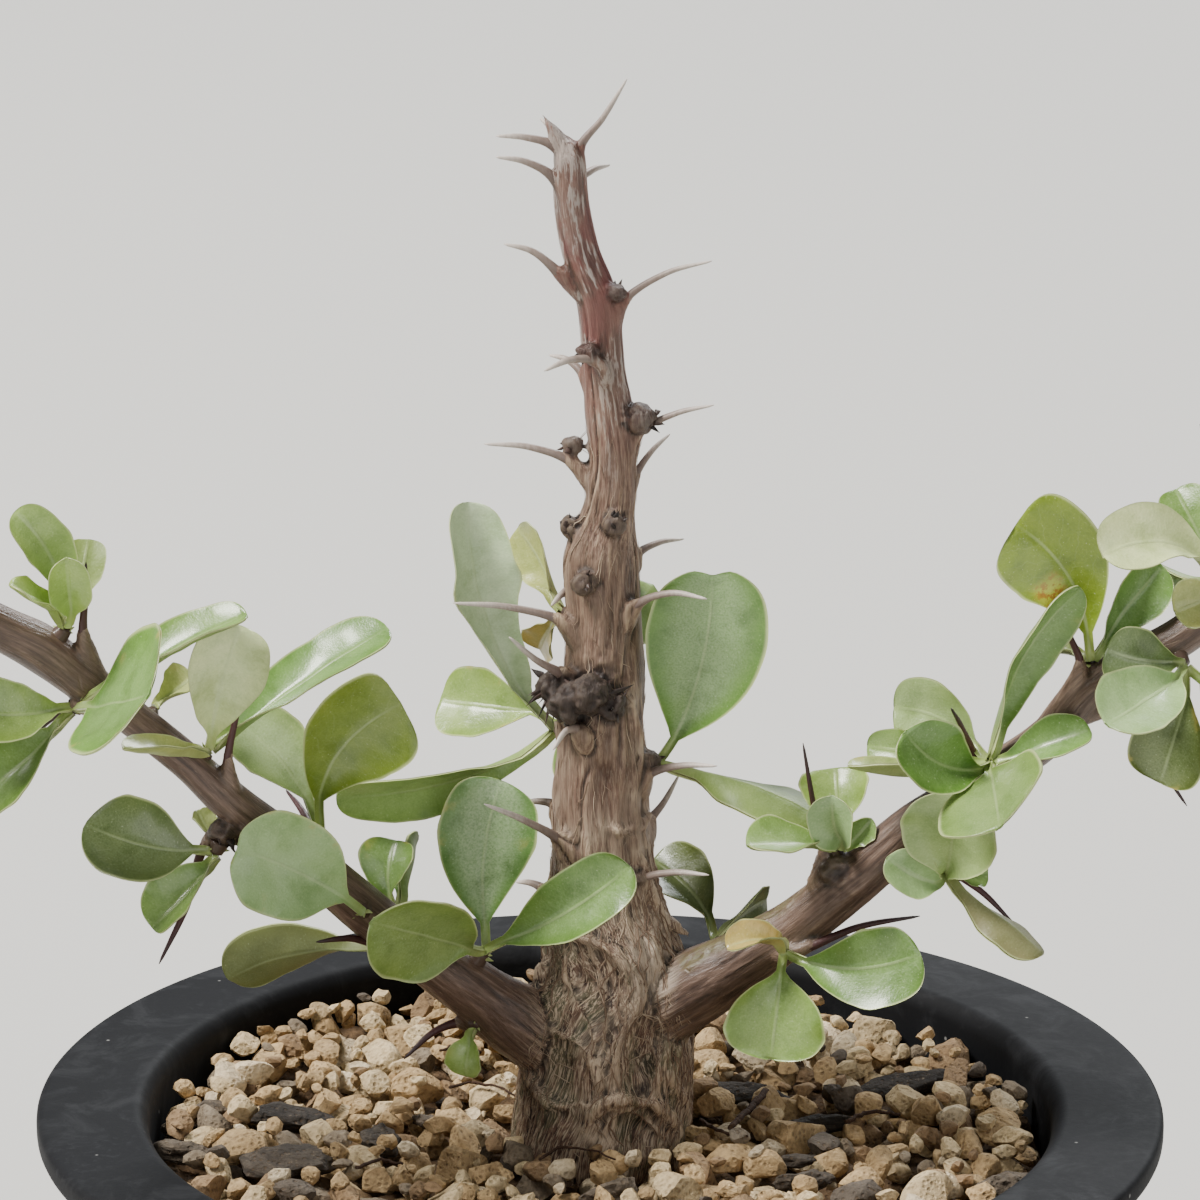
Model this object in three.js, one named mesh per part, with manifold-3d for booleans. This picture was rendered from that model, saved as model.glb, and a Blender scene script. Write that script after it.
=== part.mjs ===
// Potted Fouquieria formosa: a spiny succulent shrub with a swollen trunk and two branches, in a
// round wide-brimmed pot of gritty soil. Millimetres, +Z up, origin at the centre of the pot's base,
// +X to the right of the front view and +Y away from it.
import * as THREE from "three";
import { mergeVertices } from "three/addons/utils/BufferGeometryUtils.js";
import Module from "manifold-3d";

const wasm = await Module();
wasm.setup();

// Driving dimensions of the pot and its filling
const potHeight = 82;
const rimRadius = 66;
const brimThickness = 3.2;
const mouthRadius = 53;
const baseRadius = 42;
const floorThickness = 4;
const wallThickness = 3;
const drainHoleCount = 4;
const drainHoleRadius = 3.5;
const drainRingRadius = 25;
const soilDepthBelowRim = 5;
const clearGap = 0.3;
const potSides = 36;

// Driving dimensions of the plant
const rootDepth = 30;
const leafThickness = 0.7;
const petioleWidth = 1.3;
const spineRootLength = 7;
const spineTipRadius = 0.25;
const trunkSides = 14;
const branchSides = 8;

// The front view that places are read from: a square of 1200 by 1200 units, seen from viewDistance
// in front of the pot's middle and viewRise above its rim, looking down by viewPitch.
const viewCentre = 600;
const viewScale = 5000;
const viewDistance = 552.3;
const viewRise = 211.4;
const viewPitch = THREE.MathUtils.degToRad(15.31);
const viewRoll = THREE.MathUtils.degToRad(0.22);
const viewShift = 0.25;
const eye = new THREE.Vector3(-viewShift, -viewDistance, potHeight + viewRise);

// The point seen at (px, py) in the front view, on the upright plane that lies y behind the middle.
function sight([px, py], y) {
  const dx = px - viewCentre;
  const dy = py - viewCentre;
  const u = Math.cos(viewRoll) * dx + Math.sin(viewRoll) * dy;
  const v = Math.cos(viewRoll) * dy - Math.sin(viewRoll) * dx;
  const cosPitch = Math.cos(viewPitch);
  const sinPitch = Math.sin(viewPitch);
  const t = (viewDistance + y) / (viewScale * cosPitch - v * sinPitch);
  const z = potHeight + viewRise - t * (viewScale * sinPitch + v * cosPitch);
  return new THREE.Vector3(u * t - viewShift, y, z);
}

// A seeded random number generator, from 0 to 1
function seeded(seed) {
  let state = seed;
  return () => {
    state = (state + 0x6d2b79f5) | 0;
    let t = Math.imul(state ^ (state >>> 15), 1 | state);
    t = (t + Math.imul(t ^ (t >>> 7), 61 | t)) ^ t;
    return ((t ^ (t >>> 14)) >>> 0) / 4294967296;
  };
}

// Solids: closed geometry in and out of the joining and cutting library
function toSolid(geometry) {
  const bare = geometry.index ? geometry.toNonIndexed() : geometry.clone();
  bare.deleteAttribute("normal");
  bare.deleteAttribute("uv");
  const merged = mergeVertices(bare, 1e-4);
  const corner = merged.index.array;
  const kept = [];
  for (let i = 0; i < corner.length; i += 3) {
    const [a, b, c] = [corner[i], corner[i + 1], corner[i + 2]];
    if (a !== b && b !== c && c !== a) kept.push(a, b, c);
  }
  const closed = (triangles) =>
    new wasm.Manifold(
      new wasm.Mesh({
        numProp: 3,
        vertProperties: merged.attributes.position.array,
        triVerts: new Uint32Array(triangles),
      }),
    );
  const solid = closed(kept);
  if (solid.volume() >= 0) return solid;
  for (let i = 0; i < kept.length; i += 3) [kept[i], kept[i + 1]] = [kept[i + 1], kept[i]];
  return closed(kept);
}

function toGeometry(solid) {
  const mesh = solid.getMesh();
  const geometry = new THREE.BufferGeometry();
  geometry.setAttribute("position", new THREE.BufferAttribute(mesh.vertProperties, 3));
  geometry.setIndex(new THREE.BufferAttribute(mesh.triVerts, 1));
  geometry.computeVertexNormals();
  return geometry;
}

const joined = (solids) => solids.reduce((whole, solid) => whole.add(solid));

// The largest of the bodies that a cut leaves
function largestBody(solid) {
  return solid.decompose().sort((a, b) => b.volume() - a.volume())[0];
}

// A closed skin over rings of equal length, each a list of points, with a fan over both ends
function loftedSolid(rings) {
  const count = rings[0].length;
  const points = rings.flat();
  const corner = [];
  for (let i = 0; i + 1 < rings.length; i++) {
    for (let j = 0; j < count; j++) {
      const a = i * count + j;
      const b = i * count + ((j + 1) % count);
      corner.push(a, b, b + count, a, b + count, a + count);
    }
  }
  const lastRing = (rings.length - 1) * count;
  for (let j = 1; j + 1 < count; j++) {
    corner.push(0, j + 1, j, lastRing, lastRing + j, lastRing + j + 1);
  }
  const geometry = new THREE.BufferGeometry().setFromPoints(points);
  geometry.setIndex(corner);
  return toSolid(geometry);
}

// Pot: one turned body with a wide flat brim, a rounded lip and small drain holes in its floor
function potSolid() {
  const innerBottom = baseRadius - wallThickness;
  const under = potHeight - brimThickness;
  const profile = [
    [0, 0],
    [baseRadius - 1, 0],
    [baseRadius, 1],
    [mouthRadius + wallThickness - 1, under - 8],
    [mouthRadius + wallThickness + 0.5, under - 2.5],
    [mouthRadius + wallThickness + 3, under],
    [rimRadius - 1.4, under],
    [rimRadius - 0.4, under + 0.5],
    [rimRadius, under + 1.4],
    [rimRadius - 0.1, potHeight - 0.9],
    [rimRadius - 0.8, potHeight],
    [mouthRadius + 2, potHeight],
    [mouthRadius + 0.6, potHeight - 0.5],
    [mouthRadius, potHeight - 2],
    [mouthRadius - 0.3, potHeight - 10],
    [innerBottom, floorThickness + 3],
    [innerBottom - 3, floorThickness],
    [0, floorThickness],
  ];
  const outline = profile.map(([r, z]) => new THREE.Vector2(r, z));
  const turned = new THREE.LatheGeometry(outline, potSides);
  let pot = toSolid(turned.rotateX(Math.PI / 2));
  for (let i = 0; i < drainHoleCount; i++) {
    const angle = (2 * Math.PI * (i + 0.5)) / drainHoleCount;
    const drill = new THREE.CylinderGeometry(drainHoleRadius, drainHoleRadius, 20, 12);
    drill.rotateX(Math.PI / 2);
    drill.translate(drainRingRadius * Math.cos(angle), drainRingRadius * Math.sin(angle), 0);
    pot = pot.subtract(toSolid(drill));
  }
  return pot;
}

// Stems: each station gives its place in the front view, the depth y and the width in millimetres
const trunkStations = [
  { at: [600, 1150], y: 0, wide: 21 },
  { at: [607, 1050], y: 0, wide: 20 },
  { at: [610, 1000], y: 0, wide: 18.2 },
  { at: [612, 950], y: 0, wide: 15.6 },
  { at: [603, 900], y: 0, wide: 12.8 },
  { at: [602, 850], y: 0, wide: 11.6 },
  { at: [601, 800], y: 0.3, wide: 11.1 },
  { at: [604, 700], y: 0.6, wide: 9.4 },
  { at: [604, 620], y: 0.6, wide: 8.6 },
  { at: [601, 560], y: 0.4, wide: 8.7 },
  { at: [611, 500], y: 0, wide: 6.2 },
  { at: [613, 460], y: 0, wide: 5.6 },
  { at: [609, 415], y: 0.3, wide: 5.5 },
  { at: [604, 370], y: 0.6, wide: 4.8 },
  { at: [597, 300], y: 0.8, wide: 4.7 },
  { at: [580, 250], y: 0.6, wide: 4.3 },
  { at: [571, 200], y: 0.2, wide: 4.1 },
  { at: [569, 160], y: 0, wide: 3.9 },
  { at: [565, 142], y: 0, wide: 2.6 },
];
const leftStations = [
  { at: [600, 1060], y: -1, wide: 7 },
  { at: [560, 1045], y: -2, wide: 9 },
  { at: [520, 1022], y: -3, wide: 8.6 },
  { at: [470, 987], y: -5, wide: 7 },
  { at: [420, 955], y: -7, wide: 6 },
  { at: [370, 915], y: -9, wide: 5.6 },
  { at: [300, 855], y: -12, wide: 5.2 },
  { at: [228, 799], y: -14.5, wide: 4.7 },
  { at: [187, 761], y: -16, wide: 4.3 },
  { at: [134, 719], y: -18, wide: 4.3 },
  { at: [80, 678], y: -20, wide: 5 },
  { at: [40, 648], y: -21, wide: 5.4 },
  { at: [0, 628], y: -22, wide: 5 },
  { at: [-60, 598], y: -23.5, wide: 4.6 },
  { at: [-130, 556], y: -25, wide: 4.3 },
  { at: [-185, 508], y: -26, wide: 3.4 },
];
const rightStations = [
  { at: [610, 1040], y: -1, wide: 7 },
  { at: [655, 1012], y: -3, wide: 9 },
  { at: [700, 985], y: -4, wide: 8.8 },
  { at: [747, 957], y: -5.5, wide: 7.2 },
  { at: [801, 922], y: -7, wide: 6.2 },
  { at: [854, 880], y: -8.3, wide: 6 },
  { at: [908, 833], y: -9.3, wide: 5.7 },
  { at: [960, 797], y: -10, wide: 5.2 },
  { at: [1050, 735], y: -10.5, wide: 4.7 },
  { at: [1088, 692], y: -10, wide: 4.8 },
  { at: [1130, 664], y: -9.4, wide: 4.7 },
  { at: [1175, 640], y: -8.6, wide: 4.6 },
  { at: [1215, 612], y: -7.8, wide: 4.4 },
  { at: [1270, 575], y: -6.5, wide: 4.2 },
  { at: [1340, 540], y: -5, wide: 4 },
  { at: [1420, 495], y: -3, wide: 3.2 },
];

// A stem as smooth curves through its stations: place and radius at a share of its length
function stemPath(stations) {
  const line = new THREE.CatmullRomCurve3(stations.map((s) => sight(s.at, s.y)));
  const radii = stations.map((s) => s.wide / 2);
  const last = stations.length - 1;
  return {
    last,
    place: (i) => line.getPoint(THREE.MathUtils.clamp(i / last, 0, 1)),
    radius: (i) => {
      const low = THREE.MathUtils.clamp(Math.floor(i), 0, last - 1);
      const share = THREE.MathUtils.smoothstep(i - low, 0, 1);
      return radii[low] + (radii[low + 1] - radii[low]) * share;
    },
  };
}

const stems = {
  trunk: stemPath(trunkStations),
  left: stemPath(leftStations),
  right: stemPath(rightStations),
};

// Where a point lies along a stem: the nearest step of its path
function nearestStep(path, point) {
  let best = 0;
  let bestDistance = Infinity;
  for (let i = 0; i <= path.last; i += 0.1) {
    const distance = path.place(i).distanceTo(point);
    if (distance < bestDistance) {
      bestDistance = distance;
      best = i;
    }
  }
  return best;
}

// A ring of points round a curve's place, square to its direction
function ringAround(centre, direction, radius, sides, swell = () => 0) {
  const ahead = direction.clone().normalize();
  const side = new THREE.Vector3(0, -1, 0).cross(ahead);
  if (side.length() < 0.2) side.set(1, 0, 0);
  side.addScaledVector(ahead, -side.dot(ahead)).normalize();
  const front = new THREE.Vector3().crossVectors(ahead, side);
  return Array.from({ length: sides }, (_, j) => {
    const angle = (2 * Math.PI * j) / sides;
    const out = side.clone().multiplyScalar(Math.cos(angle)).addScaledVector(front, Math.sin(angle));
    return centre.clone().addScaledVector(out, radius + swell(angle));
  });
}

// Bark relief: ribs that wind a little as they climb, deepest on the swollen base
function barkSwell(height, angle, radius) {
  const rib = Math.sin(5 * angle + 0.09 * height) + 0.5 * Math.sin(3 * angle - 0.16 * height + 1);
  return 0.045 * radius * rib;
}

// The trunk climbs from its buried, tapered root to its tip
function trunkSolid(extra) {
  const path = stems.trunk;
  const foot = path.place(0);
  const rings = [];
  const rootShares = [1, 0.72, 0.4, 0.15];
  for (const share of rootShares) {
    const centre = new THREE.Vector3(foot.x, foot.y, foot.z - share * rootDepth);
    const radius = path.radius(0) * (1 - 0.62 * share) + extra;
    rings.push(ringAround(centre, new THREE.Vector3(0, 0, 1), radius, trunkSides));
  }
  for (let i = 0; i <= path.last; i += 0.75) {
    const centre = path.place(i);
    const direction = path.place(i + 0.1).sub(path.place(i - 0.1));
    const radius = path.radius(i);
    const swell = (angle) => barkSwell(centre.z, angle, radius);
    rings.push(ringAround(centre, direction, radius + extra, trunkSides, swell));
  }
  return loftedSolid(rings);
}

function branchSolid(path, extra) {
  const rings = [];
  for (let i = 0; i <= path.last; i++) {
    const direction = path.place(i + 0.2).sub(path.place(i - 0.2));
    rings.push(ringAround(path.place(i), direction, path.radius(i) + extra, branchSides));
  }
  return loftedSolid(rings);
}

// Spines: place of the base and of the tip in the front view with their depths, and how far the
// spine bows upwards. Each grows from a ridge that runs up the stem to it.
const spines = [
  { on: "trunk", at: [579, 150], y: 0, tip: [627, 79], tipY: 1, bow: -0.3 },
  { on: "trunk", at: [566, 148], y: 0.8, tip: [540, 118], tipY: 3, bow: 0.3 },
  { on: "trunk", at: [556, 148], y: -0.6, tip: [496, 136], tipY: -2, bow: 0.4 },
  { on: "trunk", at: [555, 180], y: -1, tip: [496, 157], tipY: -3, bow: 0.6 },
  { on: "trunk", at: [572, 190], y: 2.4, tip: [610, 165], tipY: 11, bow: 0.6 },
  { on: "trunk", at: [560, 274], y: -0.4, tip: [504, 244], tipY: -1, bow: 0.7 },
  { on: "trunk", at: [620, 306], y: 0, tip: [712, 261], tipY: -1, bow: 0.9 },
  { on: "trunk", at: [600, 340], y: 3, tip: [590, 300], tipY: 12, bow: 0.6 },
  { on: "trunk", at: [586, 378], y: 1, tip: [549, 355], tipY: 4, bow: 0.6 },
  { on: "trunk", at: [600, 364], y: -2.4, tip: [544, 371], tipY: -6.5, bow: 0.7 },
  { on: "trunk", at: [636, 436], y: 0, tip: [714, 405], tipY: -2, bow: 0.6 },
  { on: "trunk", at: [632, 481], y: 1.6, tip: [670, 434], tipY: 6, bow: 0.5 },
  { on: "trunk", at: [577, 466], y: -0.6, tip: [484, 444], tipY: -2, bow: 0.7 },
  { on: "trunk", at: [634, 557], y: 2.4, tip: [684, 539], tipY: 7, bow: 0.5 },
  { on: "trunk", at: [600, 540], y: 4.5, tip: [585, 500], tipY: 14, bow: 0.7 },
  { on: "trunk", at: [634, 607], y: -2.6, tip: [707, 599], tipY: -7, bow: 0.9 },
  { on: "trunk", at: [568, 625], y: -1.6, tip: [453, 603], tipY: -6, bow: 0.6 },
  { on: "trunk", at: [572, 590], y: 1.5, tip: [551, 606], tipY: -1, bow: 0.3 },
  { on: "trunk", at: [563, 676], y: -3, tip: [509, 637], tipY: -8, bow: -0.3 },
  { on: "trunk", at: [580, 731], y: -4.4, tip: [553, 750], tipY: -8, bow: 0.9 },
  { on: "trunk", at: [620, 700], y: 5.2, tip: [640, 655], tipY: 14, bow: 0.7 },
  { on: "trunk", at: [556, 806], y: 2, tip: [521, 803], tipY: 4, bow: 0.3 },
  { on: "trunk", at: [562, 842], y: -4.2, tip: [484, 804], tipY: -10.5, bow: 0.3 },
  { on: "trunk", at: [646, 776], y: -2, tip: [717, 766], tipY: -6, bow: 0.5 },
  { on: "trunk", at: [648, 822], y: 1.6, tip: [679, 775], tipY: 5, bow: -0.4 },
  { on: "trunk", at: [634, 883], y: -3, tip: [709, 875], tipY: -8, bow: 0.6 },
  { on: "trunk", at: [580, 880], y: 5.6, tip: [550, 845], tipY: 14, bow: 0.7 },
  { on: "trunk", at: [545, 890], y: 2, tip: [516, 882], tipY: 5, bow: 0.3 },
  { on: "left", at: [84, 640], y: -21, tip: [86, 562], tipY: -22.5, bow: 0.2 },
  { on: "left", at: [76, 706], y: -21.5, tip: [40, 730], tipY: -20, bow: 0.4 },
  { on: "left", at: [228, 768], y: -16, tip: [244, 671], tipY: -17, bow: 0.3 },
  { on: "left", at: [212, 838], y: -14.5, tip: [159, 964], tipY: -17, bow: -0.7 },
  { on: "left", at: [388, 950], y: -9, tip: [316, 942], tipY: -13, bow: 0.7 },
  { on: "left", at: [318, 842], y: -11, tip: [286, 790], tipY: -3, bow: 0.5 },
  { on: "left", at: [464, 1022], y: -4.6, tip: [404, 1059], tipY: -9, bow: 0.8 },
  { on: "left", at: [-70, 572], y: -23, tip: [-55, 500], tipY: -21, bow: 0.4 },
  { on: "left", at: [-110, 592], y: -25, tip: [-150, 655], tipY: -27, bow: 0.5 },
  { on: "left", at: [-180, 512], y: -26, tip: [-245, 475], tipY: -26, bow: 0.6 },
  { on: "right", at: [825, 857], y: -8.5, tip: [803, 743], tipY: -11, bow: -0.6 },
  { on: "right", at: [800, 950], y: -10, tip: [920, 916], tipY: -8, bow: 0.6 },
  { on: "right", at: [938, 868], y: -8.6, tip: [1015, 925], tipY: -7, bow: 0.8 },
  { on: "right", at: [973, 764], y: -10.4, tip: [951, 708], tipY: -14.5, bow: 0.7 },
  { on: "right", at: [1080, 668], y: -11, tip: [1060, 615], tipY: -9, bow: 0.4 },
  { on: "right", at: [1108, 712], y: -11, tip: [1187, 806], tipY: -8, bow: 0.8 },
  { on: "right", at: [1240, 578], y: -8, tip: [1200, 424], tipY: -9, bow: 0.6 },
  { on: "right", at: [1300, 575], y: -6, tip: [1350, 645], tipY: -5, bow: 0.5 },
  { on: "right", at: [1405, 500], y: -3, tip: [1480, 470], tipY: -2, bow: 0.5 },
];

function spineSolid(spine, extra) {
  const path = stems[spine.on];
  const base = sight(spine.at, spine.y);
  const tip = sight(spine.tip, spine.tipY);
  const step = nearestStep(path, base);
  const back = path.place(step).sub(path.place(step - 0.1)).normalize();
  const root = path.place(step).addScaledVector(back, -spineRootLength);
  const stemRadius = path.radius(step);
  const bowed = base.clone().lerp(tip, 0.5);
  bowed.z += spine.bow * 1.3;
  const line = new THREE.CatmullRomCurve3([root, base, bowed, tip], false, "centripetal");
  const thickness = [0.55 * stemRadius, 0.4 * stemRadius + 0.5, 0.85, 0.55, spineTipRadius];
  const shares = [0, 0.26, 0.46, 0.74, 1];
  const rings = shares.map((share, i) => {
    const direction = line.getTangent(share);
    return ringAround(line.getPoint(share), direction, thickness[i] + extra, 3);
  });
  return loftedSolid(rings);
}

// Dried buds and leaf scars: low knobs on the bark
const knobs = [
  { at: [616, 293], y: -1, size: 1.3 },
  { at: [588, 353], y: -2.3, size: 1.5 },
  { at: [641, 418], y: -1, size: 2.1 },
  { at: [572, 446], y: 0, size: 1.6 },
  { at: [571, 527], y: -0.6, size: 1.5 },
  { at: [614, 524], y: -3.6, size: 1.7 },
  { at: [584, 582], y: -4, size: 1.7 },
  { at: [590, 695], y: -5.6, size: 2.9 },
  { at: [566, 703], y: -4.8, size: 2.7 },
  { at: [612, 706], y: -4.8, size: 2 },
  { at: [552, 688], y: -3, size: 2.2 },
  { at: [651, 762], y: -1, size: 1.6 },
  { at: [634, 878], y: -4, size: 1.5 },
  { at: [837, 868], y: -8, size: 3.1 },
  { at: [224, 832], y: -14.8, size: 2.1 },
];

function knobSolid(knob, extra) {
  const ball = new THREE.OctahedronGeometry(1.15 * knob.size + extra, 0);
  const place = sight(knob.at, knob.y);
  return toSolid(ball.translate(place.x, place.y, place.z));
}

// The whole grown stem, swollen by extra on every side when it is used to cut clearances
function stemSolid(extra = 0) {
  return joined([
    trunkSolid(extra),
    branchSolid(stems.left, extra),
    branchSolid(stems.right, extra),
    ...spines.map((spine) => spineSolid(spine, extra)),
    ...knobs.map((knob) => knobSolid(knob, extra)),
  ]);
}

// Leaf bunches: a bunch grows from a bud seated on the stem. For each leaf: from and tip in the
// front view, y and tipY their depths, wide its width, turn its twist about its own axis from
// facing the viewer, arch its bend towards the viewer, sway its bend to its right-hand side, cup the
// lift of its edges, peak where along the blade it is widest, and notch the dip in its tip.
const bunches = {
  trunk_leaves_left_upper: {
    bud: { at: [563, 613], y: 1.5, size: 1.7 },
    leaves: [
      { from: [557, 605], y: 3, tip: [519, 527], tipY: 8, wide: 6.4, turn: -42, sway: 0.6,
        cup: 0.8 },
      { from: [556, 618], y: 3.5, tip: [536, 652], tipY: 9, wide: 5, turn: 20, cup: 0.4 },
    ],
  },
  trunk_leaves_left_mid: {
    bud: { at: [558, 728], y: 2, size: 2 },
    leaves: [
      { from: [545, 727], y: 1.5, tip: [468, 503], tipY: 0.5, wide: 9.2, turn: 28, arch: 0.8,
        sway: -2.4, cup: 0.8, peak: 0.66 },
      { from: [550, 714], y: 4, tip: [438, 700], tipY: 9, wide: 9, turn: 10, arch: 0.6, cup: 0.6 },
      { from: [548, 741], y: 3, tip: [336, 795], tipY: -2, wide: 7.6, turn: -50, sway: -1.6,
        cup: 0.6 },
    ],
  },
  trunk_leaves_right: {
    bud: { at: [656, 763], y: 0.5, size: 1.8 },
    leaves: [
      { from: [663, 757], y: 0.5, tip: [713, 566], tipY: -2, wide: 14.2, arch: 1, sway: 1.6,
        cup: 0.9, notch: 1, peak: 0.56 },
      { from: [676, 770], y: 0, tip: [823, 817], tipY: -4, wide: 9, turn: 128, arch: 0.4,
        sway: -0.8, cup: 0.4 },
    ],
  },
  trunk_leaves_back: {
    bud: { at: [604, 640], y: 5, size: 1.8 },
    leaves: [
      { from: [602, 634], y: 6.5, tip: [590, 560], tipY: 20, wide: 9, turn: 150, arch: -1,
        cup: 0.6 },
      { from: [608, 638], y: 6.5, tip: [652, 588], tipY: 20, wide: 8, turn: 170, arch: -1,
        cup: 0.6 },
      { from: [604, 648], y: 6.5, tip: [596, 672], tipY: 21, wide: 8.5, turn: 180, arch: -1,
        cup: 0.5 },
    ],
  },
  trunk_leaves_back_low: {
    bud: { at: [596, 820], y: 6, size: 1.8 },
    leaves: [
      { from: [596, 812], y: 8, tip: [575, 730], tipY: 21, wide: 9, turn: 160, arch: -1, cup: 0.6 },
      { from: [600, 820], y: 8, tip: [632, 800], tipY: 24, wide: 8, turn: 180, arch: -1, cup: 0.6 },
    ],
  },
  left_leaves_inner: {
    bud: { at: [484, 952], y: -6, size: 2 },
    leaves: [
      { from: [489, 944], y: -5, tip: [502, 781], tipY: -2.4, wide: 11.8, arch: 0.4, sway: -1.4,
        cup: 0.6 },
      { from: [491, 946], y: -8.5, tip: [632, 867], tipY: -14.5, wide: 8.2, turn: -14, arch: 1,
        sway: 0.9, cup: 0.7 },
      { from: [477, 949], y: -9, tip: [372, 922], tipY: -20, wide: 12.4, turn: -30, arch: 1,
        cup: 0.5, peak: 0.5 },
    ],
  },
  left_leaf_hanging: {
    bud: { at: [473, 1027], y: -7, size: 1.6 },
    leaves: [
      { from: [472, 1034], y: -8, tip: [464, 1077], tipY: -10.5, wide: 4.6, turn: 25, arch: 0.4,
        cup: 0.5 },
    ],
  },
  left_leaves_outer_front: {
    bud: { at: [364, 913], y: -12.4, size: 1.9 },
    leaves: [
      { from: [357, 907], y: -14, tip: [229, 846], tipY: -19, wide: 12.4, arch: 1, sway: 0.7,
        cup: 0.5, notch: 0.7, peak: 0.5 },
    ],
  },
  left_leaves_outer_back: {
    bud: { at: [396, 915], y: -5.5, size: 1.8 },
    leaves: [
      { from: [392, 903], y: -4.5, tip: [396, 840], tipY: -1.5, wide: 6.8, turn: -20, arch: 0.5,
        sway: -0.6, cup: 0.6 },
      { from: [402, 905], y: -4.5, tip: [412, 836], tipY: 3.5, wide: 5, turn: -86, arch: 0.3,
        cup: 0.3 },
    ],
  },
  left_leaves_outer_under: {
    bud: { at: [380, 945], y: -6.4, size: 1.8 },
    leaves: [
      { from: [368, 949], y: -6, tip: [228, 975], tipY: -4, wide: 8.2, turn: 140, arch: 0.5,
        sway: 1.2, cup: 0.4 },
    ],
  },
  left_leaves_mid_top: {
    bud: { at: [322, 842], y: -12, size: 1.8 },
    leaves: [
      { from: [312, 812], y: -11, tip: [240, 728], tipY: -8, wide: 8.6, turn: 20, arch: 0.8,
        sway: 1, cup: 0.6 },
      { from: [318, 812], y: -13, tip: [401, 703], tipY: -17, wide: 12.8, turn: 12, arch: 1.2,
        sway: -2.2, cup: 1, peak: 0.55 },
    ],
  },
  left_leaves_mid_under: {
    bud: { at: [216, 853], y: -15.4, size: 1.9 },
    leaves: [
      { from: [208, 851], y: -15, tip: [86, 822], tipY: -18, wide: 10.8, turn: 20, arch: 0.8,
        sway: -1, cup: 0.5, peak: 0.52 },
      { from: [217, 862], y: -16, tip: [155, 930], tipY: -21, wide: 6.6, turn: 40, arch: 1,
        cup: 0.9 },
      { from: [214, 842], y: -13, tip: [196, 812], tipY: -11, wide: 3, turn: 30, cup: 0.3 },
    ],
  },
  left_leaves_top: {
    bud: { at: [208, 752], y: -15.5, size: 1.8 },
    leaves: [
      { from: [210, 742], y: -16, tip: [240, 627], tipY: -19, wide: 9.2, turn: 10, arch: 1.2,
        sway: -0.4, cup: 1, peak: 0.66 },
      { from: [216, 748], y: -15, tip: [390, 632], tipY: -10, wide: 8.6, turn: -48, arch: 0.6,
        sway: -0.6, cup: 0.7 },
      { from: [203, 752], y: -18.6, tip: [126, 743], tipY: -25, wide: 4.8, turn: 72, sway: -0.4,
        cup: 0.5 },
    ],
  },
  left_leaf_small: {
    bud: { at: [153, 710], y: -15.4, size: 1.6 },
    leaves: [
      { from: [156, 705], y: -14.6, tip: [193, 681], tipY: -10.5, wide: 4.8, turn: -30, arch: 0.6,
        cup: 0.8 },
    ],
  },
  left_leaves_end_under: {
    bud: { at: [74, 708], y: -21, size: 1.8 },
    leaves: [
      { from: [68, 708], y: -22, tip: [-38, 712], tipY: -26, wide: 8, turn: 20, arch: 0.8,
        sway: -0.6, cup: 0.6 },
      { from: [66, 722], y: -22, tip: [-20, 806], tipY: -25, wide: 8.6, turn: 35, arch: 0.8,
        cup: 0.6 },
      { from: [86, 711], y: -24.5, tip: [153, 697], tipY: -37, wide: 17.4, turn: -48, cup: 0.4,
        peak: 0.52 },
      { from: [90, 704], y: -23.5, tip: [247, 614], tipY: -21, wide: 6.8, turn: -62, arch: 0.4,
        sway: -0.5, cup: 0.6 },
    ],
  },
  left_leaves_end_top: {
    bud: { at: [66, 628], y: -21, size: 2 },
    leaves: [
      { from: [63, 614], y: -21, tip: [14, 512], tipY: -23, wide: 5.8, turn: 20, arch: 1,
        sway: 1.4, cup: 0.8 },
      { from: [71, 612], y: -23, tip: [66, 557], tipY: -28, wide: 5, turn: 4, arch: 0.8, cup: 0.7 },
      { from: [75, 612], y: -19.5, tip: [89, 538], tipY: -17, wide: 5, turn: 176, arch: 1,
        cup: -0.9 },
      { from: [59, 614], y: -22.5, tip: [8, 587], tipY: -27, wide: 4.2, turn: 60, arch: 0.5,
        cup: 0.3 },
    ],
  },
  left_leaves_tip_low: {
    bud: { at: [-87, 613], y: -24.4, size: 1.8 },
    leaves: [
      { from: [-95, 620], y: -25, tip: [-165, 672], tipY: -30, wide: 8.6, turn: 20, arch: 0.8,
        cup: 0.6 },
      { from: [-85, 624], y: -25, tip: [-72, 706], tipY: -29, wide: 8.4, turn: -10, arch: 0.8,
        cup: 0.6 },
      { from: [-80, 610], y: -21.5, tip: [-30, 560], tipY: -9, wide: 8, turn: 10, arch: 0.6,
        cup: 0.7 },
      { from: [-95, 609], y: -22, tip: [-165, 596], tipY: -11, wide: 7.6, turn: 20, arch: 0.6,
        cup: 0.6 },
    ],
  },
  left_leaves_tip: {
    bud: { at: [-186, 504], y: -26, size: 2 },
    leaves: [
      { from: [-190, 496], y: -26.5, tip: [-232, 408], tipY: -30, wide: 8.4, turn: 10, arch: 1,
        cup: 0.8 },
      { from: [-180, 494], y: -25, tip: [-155, 404], tipY: -20, wide: 8.4, turn: -10, arch: 1,
        cup: 0.8 },
      { from: [-196, 508], y: -27, tip: [-275, 535], tipY: -32, wide: 7.6, turn: 30, arch: 0.8,
        cup: 0.6 },
      { from: [-176, 504], y: -27.5, tip: [-112, 478], tipY: -36, wide: 7.6, turn: 20, arch: 0.8,
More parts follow.
